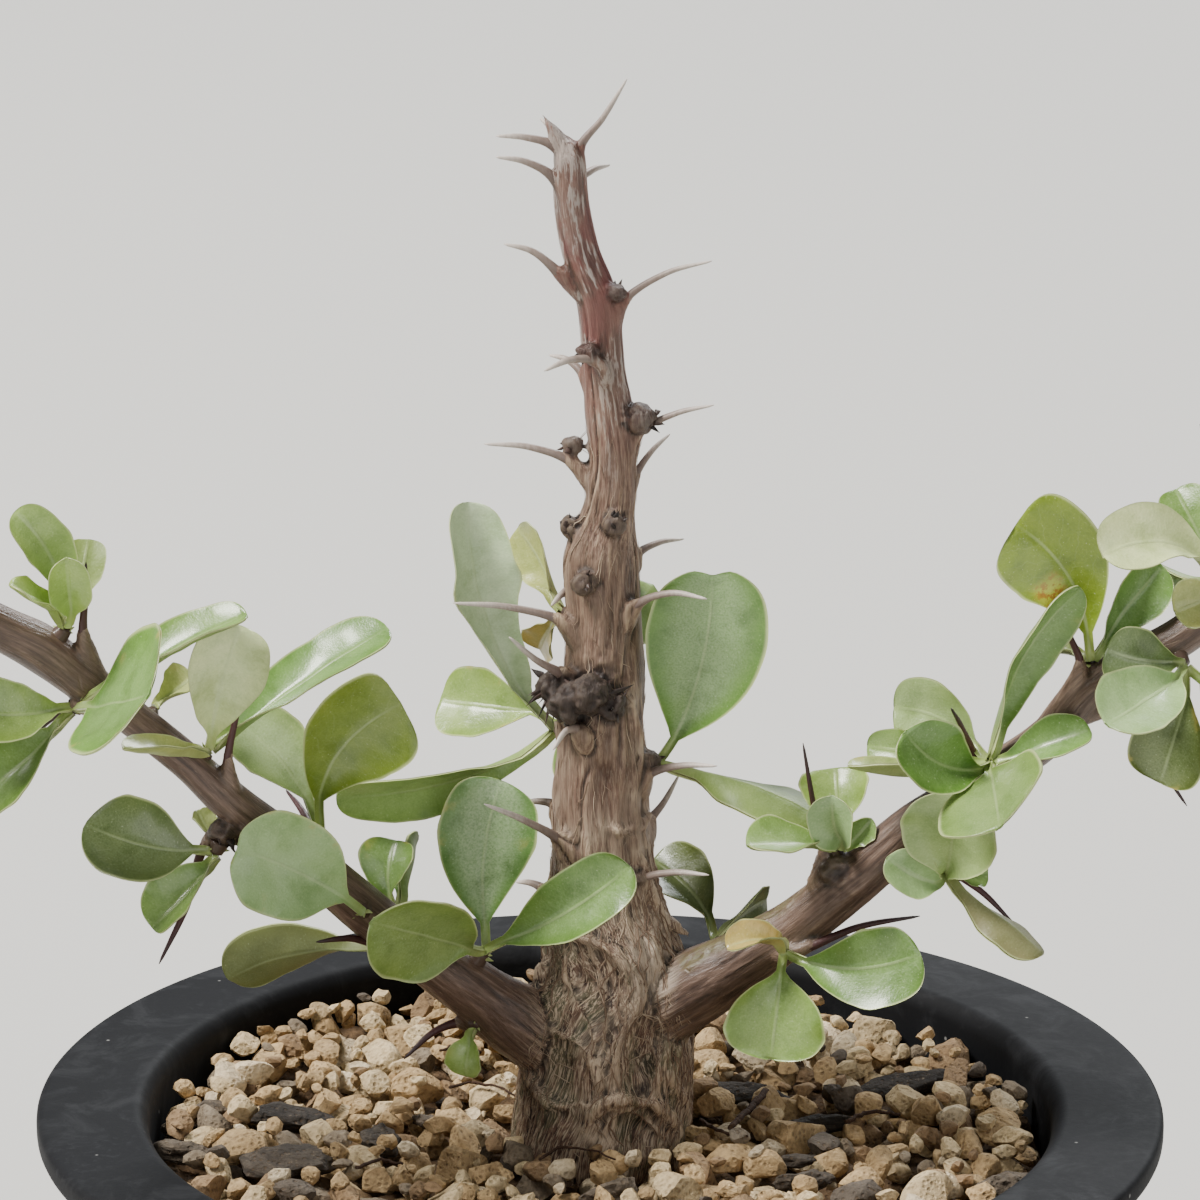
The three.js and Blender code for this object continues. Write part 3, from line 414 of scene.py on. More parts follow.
# Stations of each stem: place in the front view, depth behind the middle, width
stations = {
    "trunk": [((600, 1150), 0, 21), ((607, 1050), 0, 20), ((610, 1000), 0, 18.2),
        ((612, 950), 0, 15.6), ((603, 900), 0, 12.8), ((602, 850), 0, 11.6),
        ((601, 800), 0.3, 11.1), ((604, 700), 0.6, 9.4), ((604, 620), 0.6, 8.6),
        ((601, 560), 0.4, 8.7), ((611, 500), 0, 6.2), ((613, 460), 0, 5.6),
        ((609, 415), 0.3, 5.5), ((604, 370), 0.6, 4.8), ((597, 300), 0.8, 4.7),
        ((580, 250), 0.6, 4.3), ((571, 200), 0.2, 4.1), ((569, 160), 0, 3.9),
        ((565, 142), 0, 2.6)],
    "left": [((600, 1060), -1, 7), ((560, 1045), -2, 9), ((520, 1022), -3, 8.6),
        ((470, 987), -5, 7), ((420, 955), -7, 6), ((370, 915), -9, 5.6), ((300, 855), -12, 5.2),
        ((228, 799), -14.5, 4.7), ((187, 761), -16, 4.3), ((134, 719), -18, 4.3),
        ((80, 678), -20, 5), ((40, 648), -21, 5.4), ((0, 628), -22, 5),
        ((-60, 598), -23.5, 4.6), ((-130, 556), -25, 4.3), ((-185, 508), -26, 3.4)],
    "right": [((610, 1040), -1, 7), ((655, 1012), -3, 9), ((700, 985), -4, 8.8),
        ((747, 957), -5.5, 7.2), ((801, 922), -7, 6.2), ((854, 880), -8.3, 6),
        ((908, 833), -9.3, 5.7), ((960, 797), -10, 5.2), ((1050, 735), -10.5, 4.7),
        ((1088, 692), -10, 4.8), ((1130, 664), -9.4, 4.7), ((1175, 640), -8.6, 4.6),
        ((1215, 612), -7.8, 4.4), ((1270, 575), -6.5, 4.2), ((1340, 540), -5, 4),
        ((1420, 495), -3, 3.2)],
}

# Spines: stem, place and depth of the base, place and depth of the tip, upward bow
spines = [
    ("trunk", (579, 150), 0, (627, 79), 1, -0.3),
    ("trunk", (566, 148), 0.8, (540, 118), 3, 0.3),
    ("trunk", (556, 148), -0.6, (496, 136), -2, 0.4),
    ("trunk", (555, 180), -1, (496, 157), -3, 0.6),
    ("trunk", (572, 190), 2.4, (610, 165), 11, 0.6),
    ("trunk", (560, 274), -0.4, (504, 244), -1, 0.7),
    ("trunk", (620, 306), 0, (712, 261), -1, 0.9),
    ("trunk", (600, 340), 3, (590, 300), 12, 0.6),
    ("trunk", (586, 378), 1, (549, 355), 4, 0.6),
    ("trunk", (600, 364), -2.4, (544, 371), -6.5, 0.7),
    ("trunk", (636, 436), 0, (714, 405), -2, 0.6),
    ("trunk", (632, 481), 1.6, (670, 434), 6, 0.5),
    ("trunk", (577, 466), -0.6, (484, 444), -2, 0.7),
    ("trunk", (634, 557), 2.4, (684, 539), 7, 0.5),
    ("trunk", (600, 540), 4.5, (585, 500), 14, 0.7),
    ("trunk", (634, 607), -2.6, (707, 599), -7, 0.9),
    ("trunk", (568, 625), -1.6, (453, 603), -6, 0.6),
    ("trunk", (572, 590), 1.5, (551, 606), -1, 0.3),
    ("trunk", (563, 676), -3, (509, 637), -8, -0.3),
    ("trunk", (580, 731), -4.4, (553, 750), -8, 0.9),
    ("trunk", (620, 700), 5.2, (640, 655), 14, 0.7),
    ("trunk", (556, 806), 2, (521, 803), 4, 0.3),
    ("trunk", (562, 842), -4.2, (484, 804), -10.5, 0.3),
    ("trunk", (646, 776), -2, (717, 766), -6, 0.5),
    ("trunk", (648, 822), 1.6, (679, 775), 5, -0.4),
    ("trunk", (634, 883), -3, (709, 875), -8, 0.6),
    ("trunk", (580, 880), 5.6, (550, 845), 14, 0.7),
    ("trunk", (545, 890), 2, (516, 882), 5, 0.3),
    ("left", (84, 640), -21, (86, 562), -22.5, 0.2),
    ("left", (76, 706), -21.5, (40, 730), -20, 0.4),
    ("left", (228, 768), -16, (244, 671), -17, 0.3),
    ("left", (212, 838), -14.5, (159, 964), -17, -0.7),
    ("left", (388, 950), -9, (316, 942), -13, 0.7),
    ("left", (318, 842), -11, (286, 790), -3, 0.5),
    ("left", (464, 1022), -4.6, (404, 1059), -9, 0.8),
    ("left", (-70, 572), -23, (-55, 500), -21, 0.4),
    ("left", (-110, 592), -25, (-150, 655), -27, 0.5),
    ("left", (-180, 512), -26, (-245, 475), -26, 0.6),
    ("right", (825, 857), -8.5, (803, 743), -11, -0.6),
    ("right", (800, 950), -10, (920, 916), -8, 0.6),
    ("right", (938, 868), -8.6, (1015, 925), -7, 0.8),
    ("right", (973, 764), -10.4, (951, 708), -14.5, 0.7),
    ("right", (1080, 668), -11, (1060, 615), -9, 0.4),
    ("right", (1108, 712), -11, (1187, 806), -8, 0.8),
    ("right", (1240, 578), -8, (1200, 424), -9, 0.6),
    ("right", (1300, 575), -6, (1350, 645), -5, 0.5),
    ("right", (1405, 500), -3, (1480, 470), -2, 0.5),
]

# Knobs of dried buds and old scars: place, depth, size
knobs = [
    ((616, 293), -1, 1.3), ((588, 353), -2.3, 1.5), ((641, 418), -1, 2.1), ((572, 446), 0, 1.6),
    ((571, 527), -0.6, 1.5), ((614, 524), -3.6, 1.7), ((584, 582), -4, 1.7),
    ((590, 695), -5.6, 2.9), ((566, 703), -4.8, 2.7), ((612, 706), -4.8, 2),
    ((552, 688), -3, 2.2), ((651, 762), -1, 1.6), ((634, 878), -4, 1.5), ((837, 868), -8, 3.1),
    ((224, 832), -14.8, 2.1),
]


# A leaf: where its stalk starts and its tip ends, each with its depth, then its width; turn about
# its length, arch to the viewer, sway to its right, cupped edges, where it is widest, tip notch
def leaf(at, y, tip, tipY, wide, **more):
    plain = {
        "turn": 0,
        "arch": 0,
        "sway": 0,
        "cup": 0,
        "peak": 0.6,
        "notch": 0,
        "look": "fresh",
        "wave": 1,
        "curl": 0,
        "spot": 0.0,
        # bloom: how strongly a pale painted sheen is laid over the middle of the blade
        "bloom": 0.22,
    }
    return {**plain, "at": at, "y": y, "tip": tip, "tipY": tipY, "wide": wide, **more}


# Bunches: place, depth and size of the bud, then the leaves that grow from it
bunches = {
    "trunk_leaves_left_upper": ((563, 613), 1.5, 1.7, [
        leaf((557, 605), 3, (519, 527), 8, 6.4, turn=-42, sway=0.6, cup=0.8, look="lemon"),
        leaf((556, 618), 3.5, (536, 652), 9, 5, turn=20, cup=0.4, look="amber"),
    ]),
    "trunk_leaves_left_mid": ((558, 728), 2, 2, [
        leaf((545, 727), 1.5, (468, 503), 0.5, 9.2, turn=28, arch=0.8, sway=-2.4, cup=0.8,
             peak=0.66, look="paleGlossLit", wave=4, curl=0.22, bloom=0.3),
        leaf((550, 714), 4, (438, 700), 9, 9, turn=10, arch=0.6, cup=0.6, look="soft"),
        leaf((548, 741), 3, (336, 795), -2, 7.6, turn=-50, sway=-1.6, cup=0.6, look="young"),
    ]),
    "trunk_leaves_right": ((656, 763), 0.5, 1.8, [
        leaf((663, 757), 0.5, (713, 566), -2, 14.2, arch=1, sway=1.6, cup=0.9, peak=0.56,
             notch=0.8, look="rich", wave=0.6, bloom=0.55),
        leaf((676, 770), 0, (823, 817), -4, 9, turn=128, arch=0.4, sway=-0.8, cup=0.4,
             look="bright"),
    ]),
    "trunk_leaves_back": ((604, 640), 5, 1.8, [
        leaf((602, 634), 6.5, (590, 560), 20, 9, turn=150, arch=-1, cup=0.6),
        leaf((608, 638), 6.5, (652, 588), 20, 8, turn=170, arch=-1, cup=0.6),
        leaf((604, 648), 6.5, (596, 672), 21, 8.5, turn=180, arch=-1, cup=0.5),
    ]),
    "trunk_leaves_back_low": ((596, 820), 6, 1.8, [
        leaf((596, 812), 8, (575, 730), 21, 9, turn=160, arch=-1, cup=0.6),
        leaf((600, 820), 8, (632, 800), 24, 8, turn=180, arch=-1, cup=0.6),
    ]),
    "left_leaves_inner": ((484, 952), -6, 2, [
        leaf((489, 944), -5, (502, 781), -2.4, 11.8, arch=0.4, sway=-1.4, cup=0.6, look="rich",
             bloom=0.8),
        leaf((491, 946), -8.5, (632, 867), -14.5, 8.2, turn=-14, arch=1, sway=0.9, cup=0.7,
             look="fresh"),
        leaf((477, 949), -9, (372, 922), -20, 12.4, turn=-30, arch=1, cup=0.5, peak=0.5,
             look="soft"),
    ]),
    "left_leaf_hanging": ((473, 1027), -7, 1.6, [
        leaf((472, 1034), -8, (464, 1077), -10.5, 4.6, turn=25, arch=0.4, cup=0.5, look="young"),
    ]),
    "left_leaves_outer_front": ((364, 913), -12.4, 1.9, [
        leaf((357, 907), -14, (229, 846), -19, 12.4, arch=1, sway=0.7, cup=0.5, peak=0.5,
             notch=0.7, look="pale"),
    ]),
    "left_leaves_outer_back": ((396, 915), -5.5, 1.8, [
        leaf((392, 903), -4.5, (396, 840), -1.5, 6.8, turn=-20, arch=0.5, sway=-0.6, cup=0.6),
        leaf((402, 905), -4.5, (412, 836), 3.5, 5, turn=-86, arch=0.3, cup=0.3),
    ]),
    "left_leaves_outer_under": ((380, 945), -6.4, 1.8, [
        leaf((368, 949), -6, (228, 975), -4, 8.2, turn=140, arch=0.5, sway=1.2, cup=0.4,
             look="olive"),
    ]),
    "left_leaves_mid_top": ((322, 842), -12, 1.8, [
        leaf((312, 812), -11, (240, 728), -8, 8.6, turn=20, arch=0.8, sway=1, cup=0.6,
             look="pale", bloom=0.6),
        leaf((318, 812), -13, (401, 703), -17, 12.8, turn=12, arch=1.2, sway=-2.2, cup=1,
             peak=0.72, look="lime", bloom=0.1),
    ]),
    "left_leaves_mid_under": ((216, 853), -15.4, 1.9, [
        leaf((208, 851), -15, (86, 822), -18, 10.8, turn=20, arch=0.8, sway=-1, cup=0.5,
             peak=0.52, look="dullShaded"),
        leaf((217, 862), -16, (155, 930), -21, 6.6, turn=40, arch=1, cup=0.9, look="soft"),
        leaf((214, 842), -13, (196, 812), -11, 3, turn=30, cup=0.3, look="lemon"),
    ]),
    "left_leaves_top": ((208, 752), -15.5, 1.8, [
        leaf((210, 742), -16, (240, 627), -19, 9.2, turn=10, arch=1.2, sway=-0.4, cup=1,
             peak=0.66, look="paleGlossLit", bloom=0.3),
        leaf((216, 748), -15, (390, 632), -10, 8.6, turn=-48, arch=0.6, sway=-0.6, cup=0.7,
             look="fresh"),
        leaf((203, 752), -18.6, (126, 743), -25, 4.8, turn=72, sway=-0.4, cup=0.5, look="lemon"),
    ]),
    "left_leaf_small": ((153, 710), -15.4, 1.6, [
        leaf((156, 705), -14.6, (193, 681), -10.5, 4.8, turn=-30, arch=0.6, cup=0.8,
             look="lemon"),
    ]),
    "left_leaves_end_under": ((74, 708), -21, 1.8, [
        leaf((68, 708), -22, (-38, 712), -26, 8, turn=20, arch=0.8, sway=-0.6, cup=0.6,
             look="soft"),
        leaf((66, 722), -22, (-20, 806), -25, 8.6, turn=35, arch=0.8, cup=0.6, look="fresh"),
        leaf((86, 711), -24.5, (153, 697), -37, 17.4, turn=-48, cup=0.4, peak=0.52, look="fresh"),
        leaf((90, 704), -23.5, (247, 614), -21, 6.8, turn=-62, arch=0.4, sway=-0.5, cup=0.6,
             look="fresh"),
    ]),
    "left_leaves_end_top": ((66, 628), -21, 2, [
        leaf((63, 614), -21, (14, 512), -23, 5.8, turn=20, arch=1, sway=1.4, cup=0.8,
             look="young"),
        leaf((71, 612), -23, (66, 557), -28, 5, turn=4, arch=0.8, cup=0.7, look="young"),
        leaf((75, 612), -19.5, (89, 538), -17, 5, turn=176, arch=1, cup=-0.9, look="bright"),
        leaf((59, 614), -22.5, (8, 587), -27, 4.2, turn=60, arch=0.5, cup=0.3, look="young"),
    ]),
    "left_leaves_tip_low": ((-87, 613), -24.4, 1.8, [
        leaf((-95, 620), -25, (-165, 672), -30, 8.6, turn=20, arch=0.8, cup=0.6),
        leaf((-85, 624), -25, (-72, 706), -29, 8.4, turn=-10, arch=0.8, cup=0.6),
        leaf((-80, 610), -21.5, (-30, 560), -9, 8, turn=10, arch=0.6, cup=0.7),
        leaf((-95, 609), -22, (-165, 596), -11, 7.6, turn=20, arch=0.6, cup=0.6),
    ]),
    "left_leaves_tip": ((-186, 504), -26, 2, [
        leaf((-190, 496), -26.5, (-232, 408), -30, 8.4, turn=10, arch=1, cup=0.8),
        leaf((-180, 494), -25, (-155, 404), -20, 8.4, turn=-10, arch=1, cup=0.8),
        leaf((-196, 508), -27, (-275, 535), -32, 7.6, turn=30, arch=0.8, cup=0.6),
        leaf((-176, 504), -27.5, (-112, 478), -36, 7.6, turn=20, arch=0.8, cup=0.6),
    ]),
    "right_leaves_inner_back": ((716, 946), -1, 1.9, [
        leaf((714, 930), 2, (652, 860), 10.5, 8, turn=20, sway=1, cup=0.6, look="dark"),
        leaf((720, 930), 1, (762, 898), 7, 5.4, turn=40, arch=0.6, cup=0.5, look="dark"),
    ]),
    "right_leaves_inner_front": ((784, 952), -10.2, 1.8, [
        leaf((784, 944), -12, (727, 944), -15, 4.4, turn=52, arch=0.3, sway=0.5, cup=0.7,
             look="amber"),
        leaf((793, 955), -11.5, (920, 954), -17, 9.4, turn=8, arch=0.8, sway=1.6, cup=0.6,
             look="fresh"),
        leaf((782, 961), -12, (771, 1060), -16, 11.8, arch=0.8, cup=0.7, peak=0.55, look="soft"),
    ]),
    "right_leaves_mid_top": ((839, 849), -8.6, 1.9, [
        leaf((830, 846), -9.5, (748, 841), -14, 7.4, turn=58, arch=0.6, cup=0.5, look="soft"),
        leaf((839, 838), -7.5, (836, 769), -3.5, 8.2, turn=-10, arch=0.8, cup=0.8, look="soft"),
        leaf((847, 842), -10, (832, 797), -14, 5.6, turn=-25, arch=0.8, sway=-0.8, cup=1,
             look="pale"),
        leaf((848, 846), -9, (871, 820), -10, 3.2, turn=10, cup=0.4, look="soft"),
    ]),
    "right_leaves_mid_under": ((944, 866), -9.8, 2.6, [
        leaf((940, 882), -10.5, (890, 858), -14.5, 5.4, arch=0.6, sway=-0.6, cup=0.7,
             look="pale"),
        leaf((948, 874), -11.5, (958, 793), -17.5, 11.6, turn=-12, arch=1, cup=1.2, peak=0.5,
             look="pale"),
        leaf((953, 874), -12.4, (989, 872), -11.5, 3.6, cup=0.4, look="soft"),
        leaf((950, 884), -12, (1040, 958), -17, 5.8, turn=128, sway=-0.4, cup=0.4, look="brown"),
    ]),
    "right_leaves_outer": ((990, 764), -12.8, 2, [
        leaf((994, 752), -11.5, (1081, 589), -14, 6.4, turn=48, arch=0.4, sway=-2.2, cup=0.7,
             look="fresh"),
        leaf((985, 755), -10.5, (894, 708), -6.5, 8.4, turn=-10, arch=0.4, sway=1.4, cup=0.6,
             look="pale"),
        leaf((983, 768), -15, (904, 732), -20, 8.4, turn=10, arch=0.4, sway=-1.6, cup=1.2,
             look="rich"),
        leaf((992, 771), -15.5, (999, 826), -29, 14.4, turn=27, arch=0.6, cup=0.4, peak=0.52,
             look="soft"),
        leaf((1000, 764), -12.5, (1090, 728), -15, 5.6, turn=-35, arch=0.8, cup=0.5,
             look="fresh"),
        leaf((980, 762), -13.2, (866, 746), -7.5, 5, cup=0.5, look="soft"),
        leaf((981, 774), -13.5, (847, 770), -13, 4.6, turn=80, sway=-0.3, cup=0.4, look="lemon"),
    ]),
    "right_leaves_bend": ((1091, 664), -10, 1.9, [
        leaf((1088, 651), -10.5, (1016, 524), -9.5, 12.6, arch=0.8, sway=2.2, cup=0.8,
             peak=0.68, look="lime", spot=1.0, bloom=0.0),
        leaf((1097, 653), -10, (1163, 566), -7, 6.2, turn=20, arch=0.6, sway=-0.4, cup=0.7,
             look="fresh"),
        leaf((1085, 658), -8.5, (1026, 672), -4, 6, turn=60, sway=1.6, cup=0.5, look="dark"),
    ]),
    "right_leaves_far_front": ((1184, 665), -11, 2, [
        leaf((1180, 660), -12, (1106, 650), -13.5, 7.4, arch=0.8, sway=-0.6, cup=0.8,
             look="dullShaded"),
        leaf((1183, 677), -14, (1106, 728), -24.5, 9.4, turn=24, arch=0.8, cup=0.7, peak=0.55,
             look="pale"),
        leaf((1191, 684), -12, (1160, 784), -14.5, 9.4, turn=10, arch=0.8, cup=0.7, look="dark"),
        leaf((1196, 674), -11.5, (1270, 726), -16, 9, turn=10, arch=0.8, cup=0.6, look="fresh"),
    ]),
    "right_leaves_far_top": ((1222, 586), -8.6, 2, [
        leaf((1215, 574), -11, (1102, 558), -16, 8, turn=40, arch=0.4, sway=2.6, cup=0.6,
             look="paleGlossLit"),
        leaf((1212, 582), -7, (1140, 570), 2, 6.4, turn=-45, arch=0.2, cup=0.5, look="fresh"),
        leaf((1218, 572), -7.5, (1175, 488), -3, 6.4, turn=10, arch=0.8, cup=0.8, look="fresh"),
        leaf((1216, 596), -12.5, (1178, 610), -15, 6, turn=10, cup=0.6, look="lemon"),
        leaf((1232, 578), -10, (1290, 500), -13, 8.6, arch=1, cup=0.8, look="fresh"),
    ]),
    "right_leaves_tip_low": ((1332, 560), -4.6, 1.9, [
        leaf((1332, 570), -6, (1310, 660), -11, 8.6, turn=10, arch=0.8, cup=0.6),
        leaf((1342, 566), -5, (1420, 618), -7, 8.4, turn=-20, arch=0.8, cup=0.6),
        leaf((1334, 556), -2, (1330, 480), 7, 8, turn=20, arch=0.8, cup=0.7),
    ]),
    "right_leaves_tip": ((1421, 492), -3, 2, [
        leaf((1424, 484), -3, (1462, 392), -5, 8.4, turn=-10, arch=1, cup=0.8),
        leaf((1414, 486), -4, (1372, 412), -10, 8, turn=10, arch=1, cup=0.8),
        leaf((1430, 494), -2, (1510, 520), 4, 7.6, arch=0.8, cup=0.6),
        leaf((1420, 484), -1, (1405, 440), 12, 7.6, turn=170, arch=-0.8, cup=0.6),
    ]),
}


# Stems: smooth curves through their stations, and how wide they are at each step
class StemLine:
    def __init__(self, rows):
        self.points = [sight(at, y) for at, y, _ in rows]
        self.radii = [wide / 2 for _, _, wide in rows]
        self.last = len(rows) - 1

    def place(self, step):
        return curveAt(self.points, step / self.last)

    def radius(self, step):
        low = min(max(int(step), 0), self.last - 1)
        share = float(smooth(0, 1, step - low))
        return self.radii[low] + (self.radii[low + 1] - self.radii[low]) * share

    def nearest(self, point):
        steps = np.arange(0, self.last + 0.001, 0.1)
        gaps = [np.linalg.norm(self.place(s) - point) for s in steps]
        return float(steps[int(np.argmin(gaps))])


stems = {name: StemLine(rows) for name, rows in stations.items()}

bark = {
    "grain": 0.29,
    "rootDepth": 30.0,
    "footFades": (12, 40),
    "youngStarts": (66, 96),
    "footPart": 18,
    "baseFlutes": 0.34,
    "midFlutes": 0.36,
    "topFlutes": 0.18,
    "branchFlutes": 0.12,
    "smoothing": 3,
    "foldSeed": 8,
    "backFolds": 15,
    "dark": colour(36, 24, 18),
    "mid": colour(78, 54, 42),
    "light": colour(126, 99, 83),
    "pale": colour(184, 160, 132),
    "young": colour(96, 64, 58),
    "youngPale": colour(206, 194, 186),
    "green": colour(98, 106, 74),
    "branchDark": colour(50, 37, 31),
    "branchMid": colour(92, 72, 61),
    "branchPale": colour(154, 132, 114),
    "rufousDark": colour(62, 34, 26),
    "rufousPale": colour(128, 92, 76),
    # foldPaleHighlight: pale fold tops, partly weathered bark and partly a painted highlight
    "foldPaleHighlight": colour(204, 185, 160),
    "greenDark": colour(66, 74, 50),
    "fringe": colour(206, 186, 160),
    "youngDark": colour(52, 32, 28),
    "youngMid": colour(138, 108, 98),
    "youngLight": colour(176, 154, 142),
    "redDark": colour(66, 26, 26),
    "redPale": colour(138, 76, 72),
    "flakeDark": colour(122, 106, 100),
    "branchLight": colour(118, 96, 83),
    "splitDark": colour(84, 66, 54),
    "splitPale": colour(150, 130, 108),
    "stripDark": colour(66, 68, 38),
    "stripPale": colour(122, 112, 76),
    "stripCrack": colour(78, 48, 38),
    "calmDark": colour(86, 67, 55),
    "calmPale": colour(138, 115, 98),
    "bareWood": colour(204, 188, 168),
    "dryDark": colour(20, 16, 15),
    "dryPale": colour(58, 45, 39),
    # crease: a dark tone painted into hollows as shade
    "crease": colour(34, 23, 19),
    "relief": 0.00034,
}

# The knobs that form the dark heap on the trunk
bigHeaps = {7, 8, 9, 10}

# The torn points at the top of the trunk, by how far they reach from its end
shards = [(-2.5, -0.5, 3.2), (-1.7, 0.4, 2.2), (-0.7, -0.5, 1.3), (0.5, 0.7, 0.5)]

# Folds: raised ridges of old bark that drape over the foot, by places in the front view and width
folds = [
    ([(544, 937), (565, 933), (592, 941), (619, 960), (638, 990), (632, 1020), (617, 1047),
        (607, 1081)], 1.5),
    ([(541, 963), (537, 998), (550, 1028), (581, 1047), (600, 1074), (607, 1096)], 1.2),
    ([(634, 925), (653, 955), (668, 982), (676, 1013), (664, 1043), (653, 1089), (668, 1115)], 1.4),
    ([(691, 1013), (676, 1043), (668, 1074), (683, 1104), (687, 1123)], 1.3),
    ([(518, 1030), (527, 1058), (539, 1089), (554, 1104), (584, 1104)], 1.4),
    ([(584, 1132), (592, 1112), (615, 1100), (645, 1102), (668, 1117), (678, 1136)], 1.6),
    ([(600, 1138), (611, 1119), (630, 1113), (651, 1125), (660, 1144)], 1.0),
    ([(630, 1008), (622, 1043), (619, 1074), (622, 1096)], 1.0),
    ([(564, 950), (570, 990), (588, 1030), (598, 1060)], 0.9),
    ([(588, 952), (600, 985), (606, 1020), (602, 1050)], 0.9),
    ([(600, 826), (622, 832), (640, 828), (652, 812)], 1.0),
    ([(585, 835), (592, 870), (583, 905), (560, 930)], 1.1),
    ([(560, 838), (566, 870), (556, 905), (545, 940)], 1.2),
    ([(640, 850), (645, 885), (660, 915), (690, 935)], 1.3),
    ([(612, 860), (610, 890), (622, 915), (636, 930)], 0.9),
    ([(556, 720), (562, 760), (558, 800), (566, 836)], 1.0),
    ([(632, 700), (640, 750), (636, 800), (646, 846)], 1.0),
]

# Hollows between the folds: place in the front view, half width and half height there, depth
hollows = [
    ((588, 996), 26, 46, 1.3),
    ((642, 1058), 15, 40, 1.1),
    ((560, 1068), 14, 26, 1.0),
    ((632, 1130), 20, 16, 1.4),
    ((606, 905), 18, 26, 0.8),
    ((690, 990), 12, 24, 0.8),
    ((602, 790), 18, 30, 0.5),
]

# Pale bare wood at the right fork: its middle in the front view, half width and half height
bareFork = ((652, 962), 24, 42)

# The cracked greenish strip along the right branch, and how far it reaches to each side
greenStrip = [(688, 962), (712, 947), (736, 931), (770, 908), (804, 884), (836, 858)]
stripReach = 9.5


# Where a point shows in the front view
def seen(points):
    away = points - eye
    cosPitch, sinPitch = math.cos(frontView["pitch"]), math.sin(frontView["pitch"])
    depth = away[..., 1] * cosPitch - away[..., 2] * sinPitch
    down = -away[..., 2] * cosPitch - away[..., 1] * sinPitch
    u = frontView["scale"] * away[..., 0] / depth
    v = frontView["scale"] * down / depth
    cosRoll, sinRoll = math.cos(frontView["roll"]), math.sin(frontView["roll"])
    x = cosRoll * u - sinRoll * v
    y = sinRoll * u + cosRoll * v
    return frontView["centre"] + np.stack([x, y], -1)


def trunkCentre(z):
    path = stems["trunk"]
    low, high = 0.0, float(path.last)
    for _ in range(18):
        middle = (low + high) / 2
        if path.place(middle)[2] < z:
            low = middle
        else:
            high = middle
    return path.place(low), path.radius(low)


# The place on the front of the trunk that is seen at a place of the front view
def onTrunk(at):
    y = 0.0
    for _ in range(4):
        spot = sight(at, y)
        centre, radius = trunkCentre(spot[2])
        y = centre[1] - math.sqrt(max(4.0, (0.97 * radius) ** 2 - (spot[0] - centre[0]) ** 2))
    return sight(at, y), centre


def foldShape(line, wide):
    shares = np.linspace(0, 1, 26)
    radii = 0.8 * wide * (0.35 + 0.65 * np.sin(math.pi * np.clip(0.06 + 0.88 * shares, 0, 1)))
    return tube([curveAt(line, s) for s in shares], radii, 10)


def foldShapes():
    random = np.random.default_rng(bark["foldSeed"])
    made = []
    for places, wide in folds:
        line = []
        for at in places:
            spot, centre = onTrunk(at)
            inward = unit(np.array([centre[0] - spot[0], centre[1] - spot[1], 0]))
            line.append(spot - inward * 0.05 * wide)
        made.append(foldShape(line, wide))
    for _ in range(bark["backFolds"]):
        angle = random.uniform(0.02, 0.98) * math.pi
        z = pot["height"] - 6 + random.uniform(0, 10)
        wide = random.uniform(0.9, 1.6)
        lean = random.normal(0, 0.25)
        line = []
        for _ in range(7):
            centre, radius = trunkCentre(z)
            out = np.array([math.cos(angle), math.sin(angle), 0])
            line.append(np.array([centre[0], centre[1], z]) + out * (0.97 * radius - 0.1 * wide))
            lean = 0.7 * lean + random.normal(0, 0.3)
            z += 4.6
            angle += 4.6 * lean / radius
        made.append(foldShape(line, wide))
    return made


# The curve of a spine: up the stem's ridge, out of the bark and on to its tip
def spineCurve(row):
    on, at, y, tipAt, tipY, bow = row
    line = stems[on]
    base, tip = sight(at, y), sight(tipAt, tipY)
    step = line.nearest(base)
    back = unit(line.place(step) - line.place(step - 0.1 if step > 0.05 else 0))
    root = line.place(step) - 7 * back
    bowed = (base + tip) / 2
    bowed[2] += 1.3 * bow
    return [root, base, bowed, tip], line.radius(step)


def ridgeShape(row):
    points, stemRadius = spineCurve(row)
    shares = np.linspace(0, 0.46, 12)
    line = [curveAt(points, s) for s in shares]
    thick = np.interp(
        shares, [0, 0.26, 0.4, 0.46], [0.5 * stemRadius, 0.34 * stemRadius + 0.3, 0.7, 0.4]
    )
    return tube(line, thick, 12)


# The bare stem as tubes and lumps that the fine skin is wrapped round
def stemCore():
    trunk = stems["trunk"]
    foot = trunk.place(0)
    line = [foot - np.array([0, 0, s * bark["rootDepth"]]) for s in (1, 0.8, 0.6, 0.4, 0.2)]
    wide = [trunk.radius(0) * (1 - 0.62 * s) for s in (1, 0.8, 0.6, 0.4, 0.2)]
    steps = np.arange(0, trunk.last + 0.01, 0.15)
    line += [trunk.place(s) for s in steps]
    wide += [trunk.radius(s) for s in steps]
    whole = [tube(line, wide, 48)]
    for side in ("left", "right"):
        path = stems[side]
        steps = np.arange(0, path.last + 0.01, 0.2)
        whole.append(tube([path.place(s) for s in steps], [path.radius(s) for s in steps], 36))
        tip = path.place(path.last)
        points, faces = ballOf(3)
        whole.append(shape(points * path.radius(path.last) + tip, [faces]))
    points, faces = ballOf(3)
    tip = trunk.place(trunk.last)
    for lift, aside, size in ((-0.7, 0.1, 0.84), (0.3, -0.8, 0.55), (-0.4, 0.7, 0.45)):
        at = tip + np.array([aside, 0, lift])
        whole.append(shape(points * size * trunk.radius(trunk.last) + at, [faces]))
    for reach in shards:
        line = [
            tip + np.array(reach) * s - np.array([0, 0, 1.5 * (1 - s)]) for s in (0, 0.35, 0.7, 1)
        ]
        whole.append(tube(line, [1.35, 1.1, 0.66, 0.2], 12))
    whole += foldShapes()
    whole += [ridgeShape(row) for row in spines]
    points, faces = ballOf(3)
    for at, y, size in knobs:
        whole.append(shape(points * 0.85 * size + sight(at, y), [faces]))
    return gathered(whole)


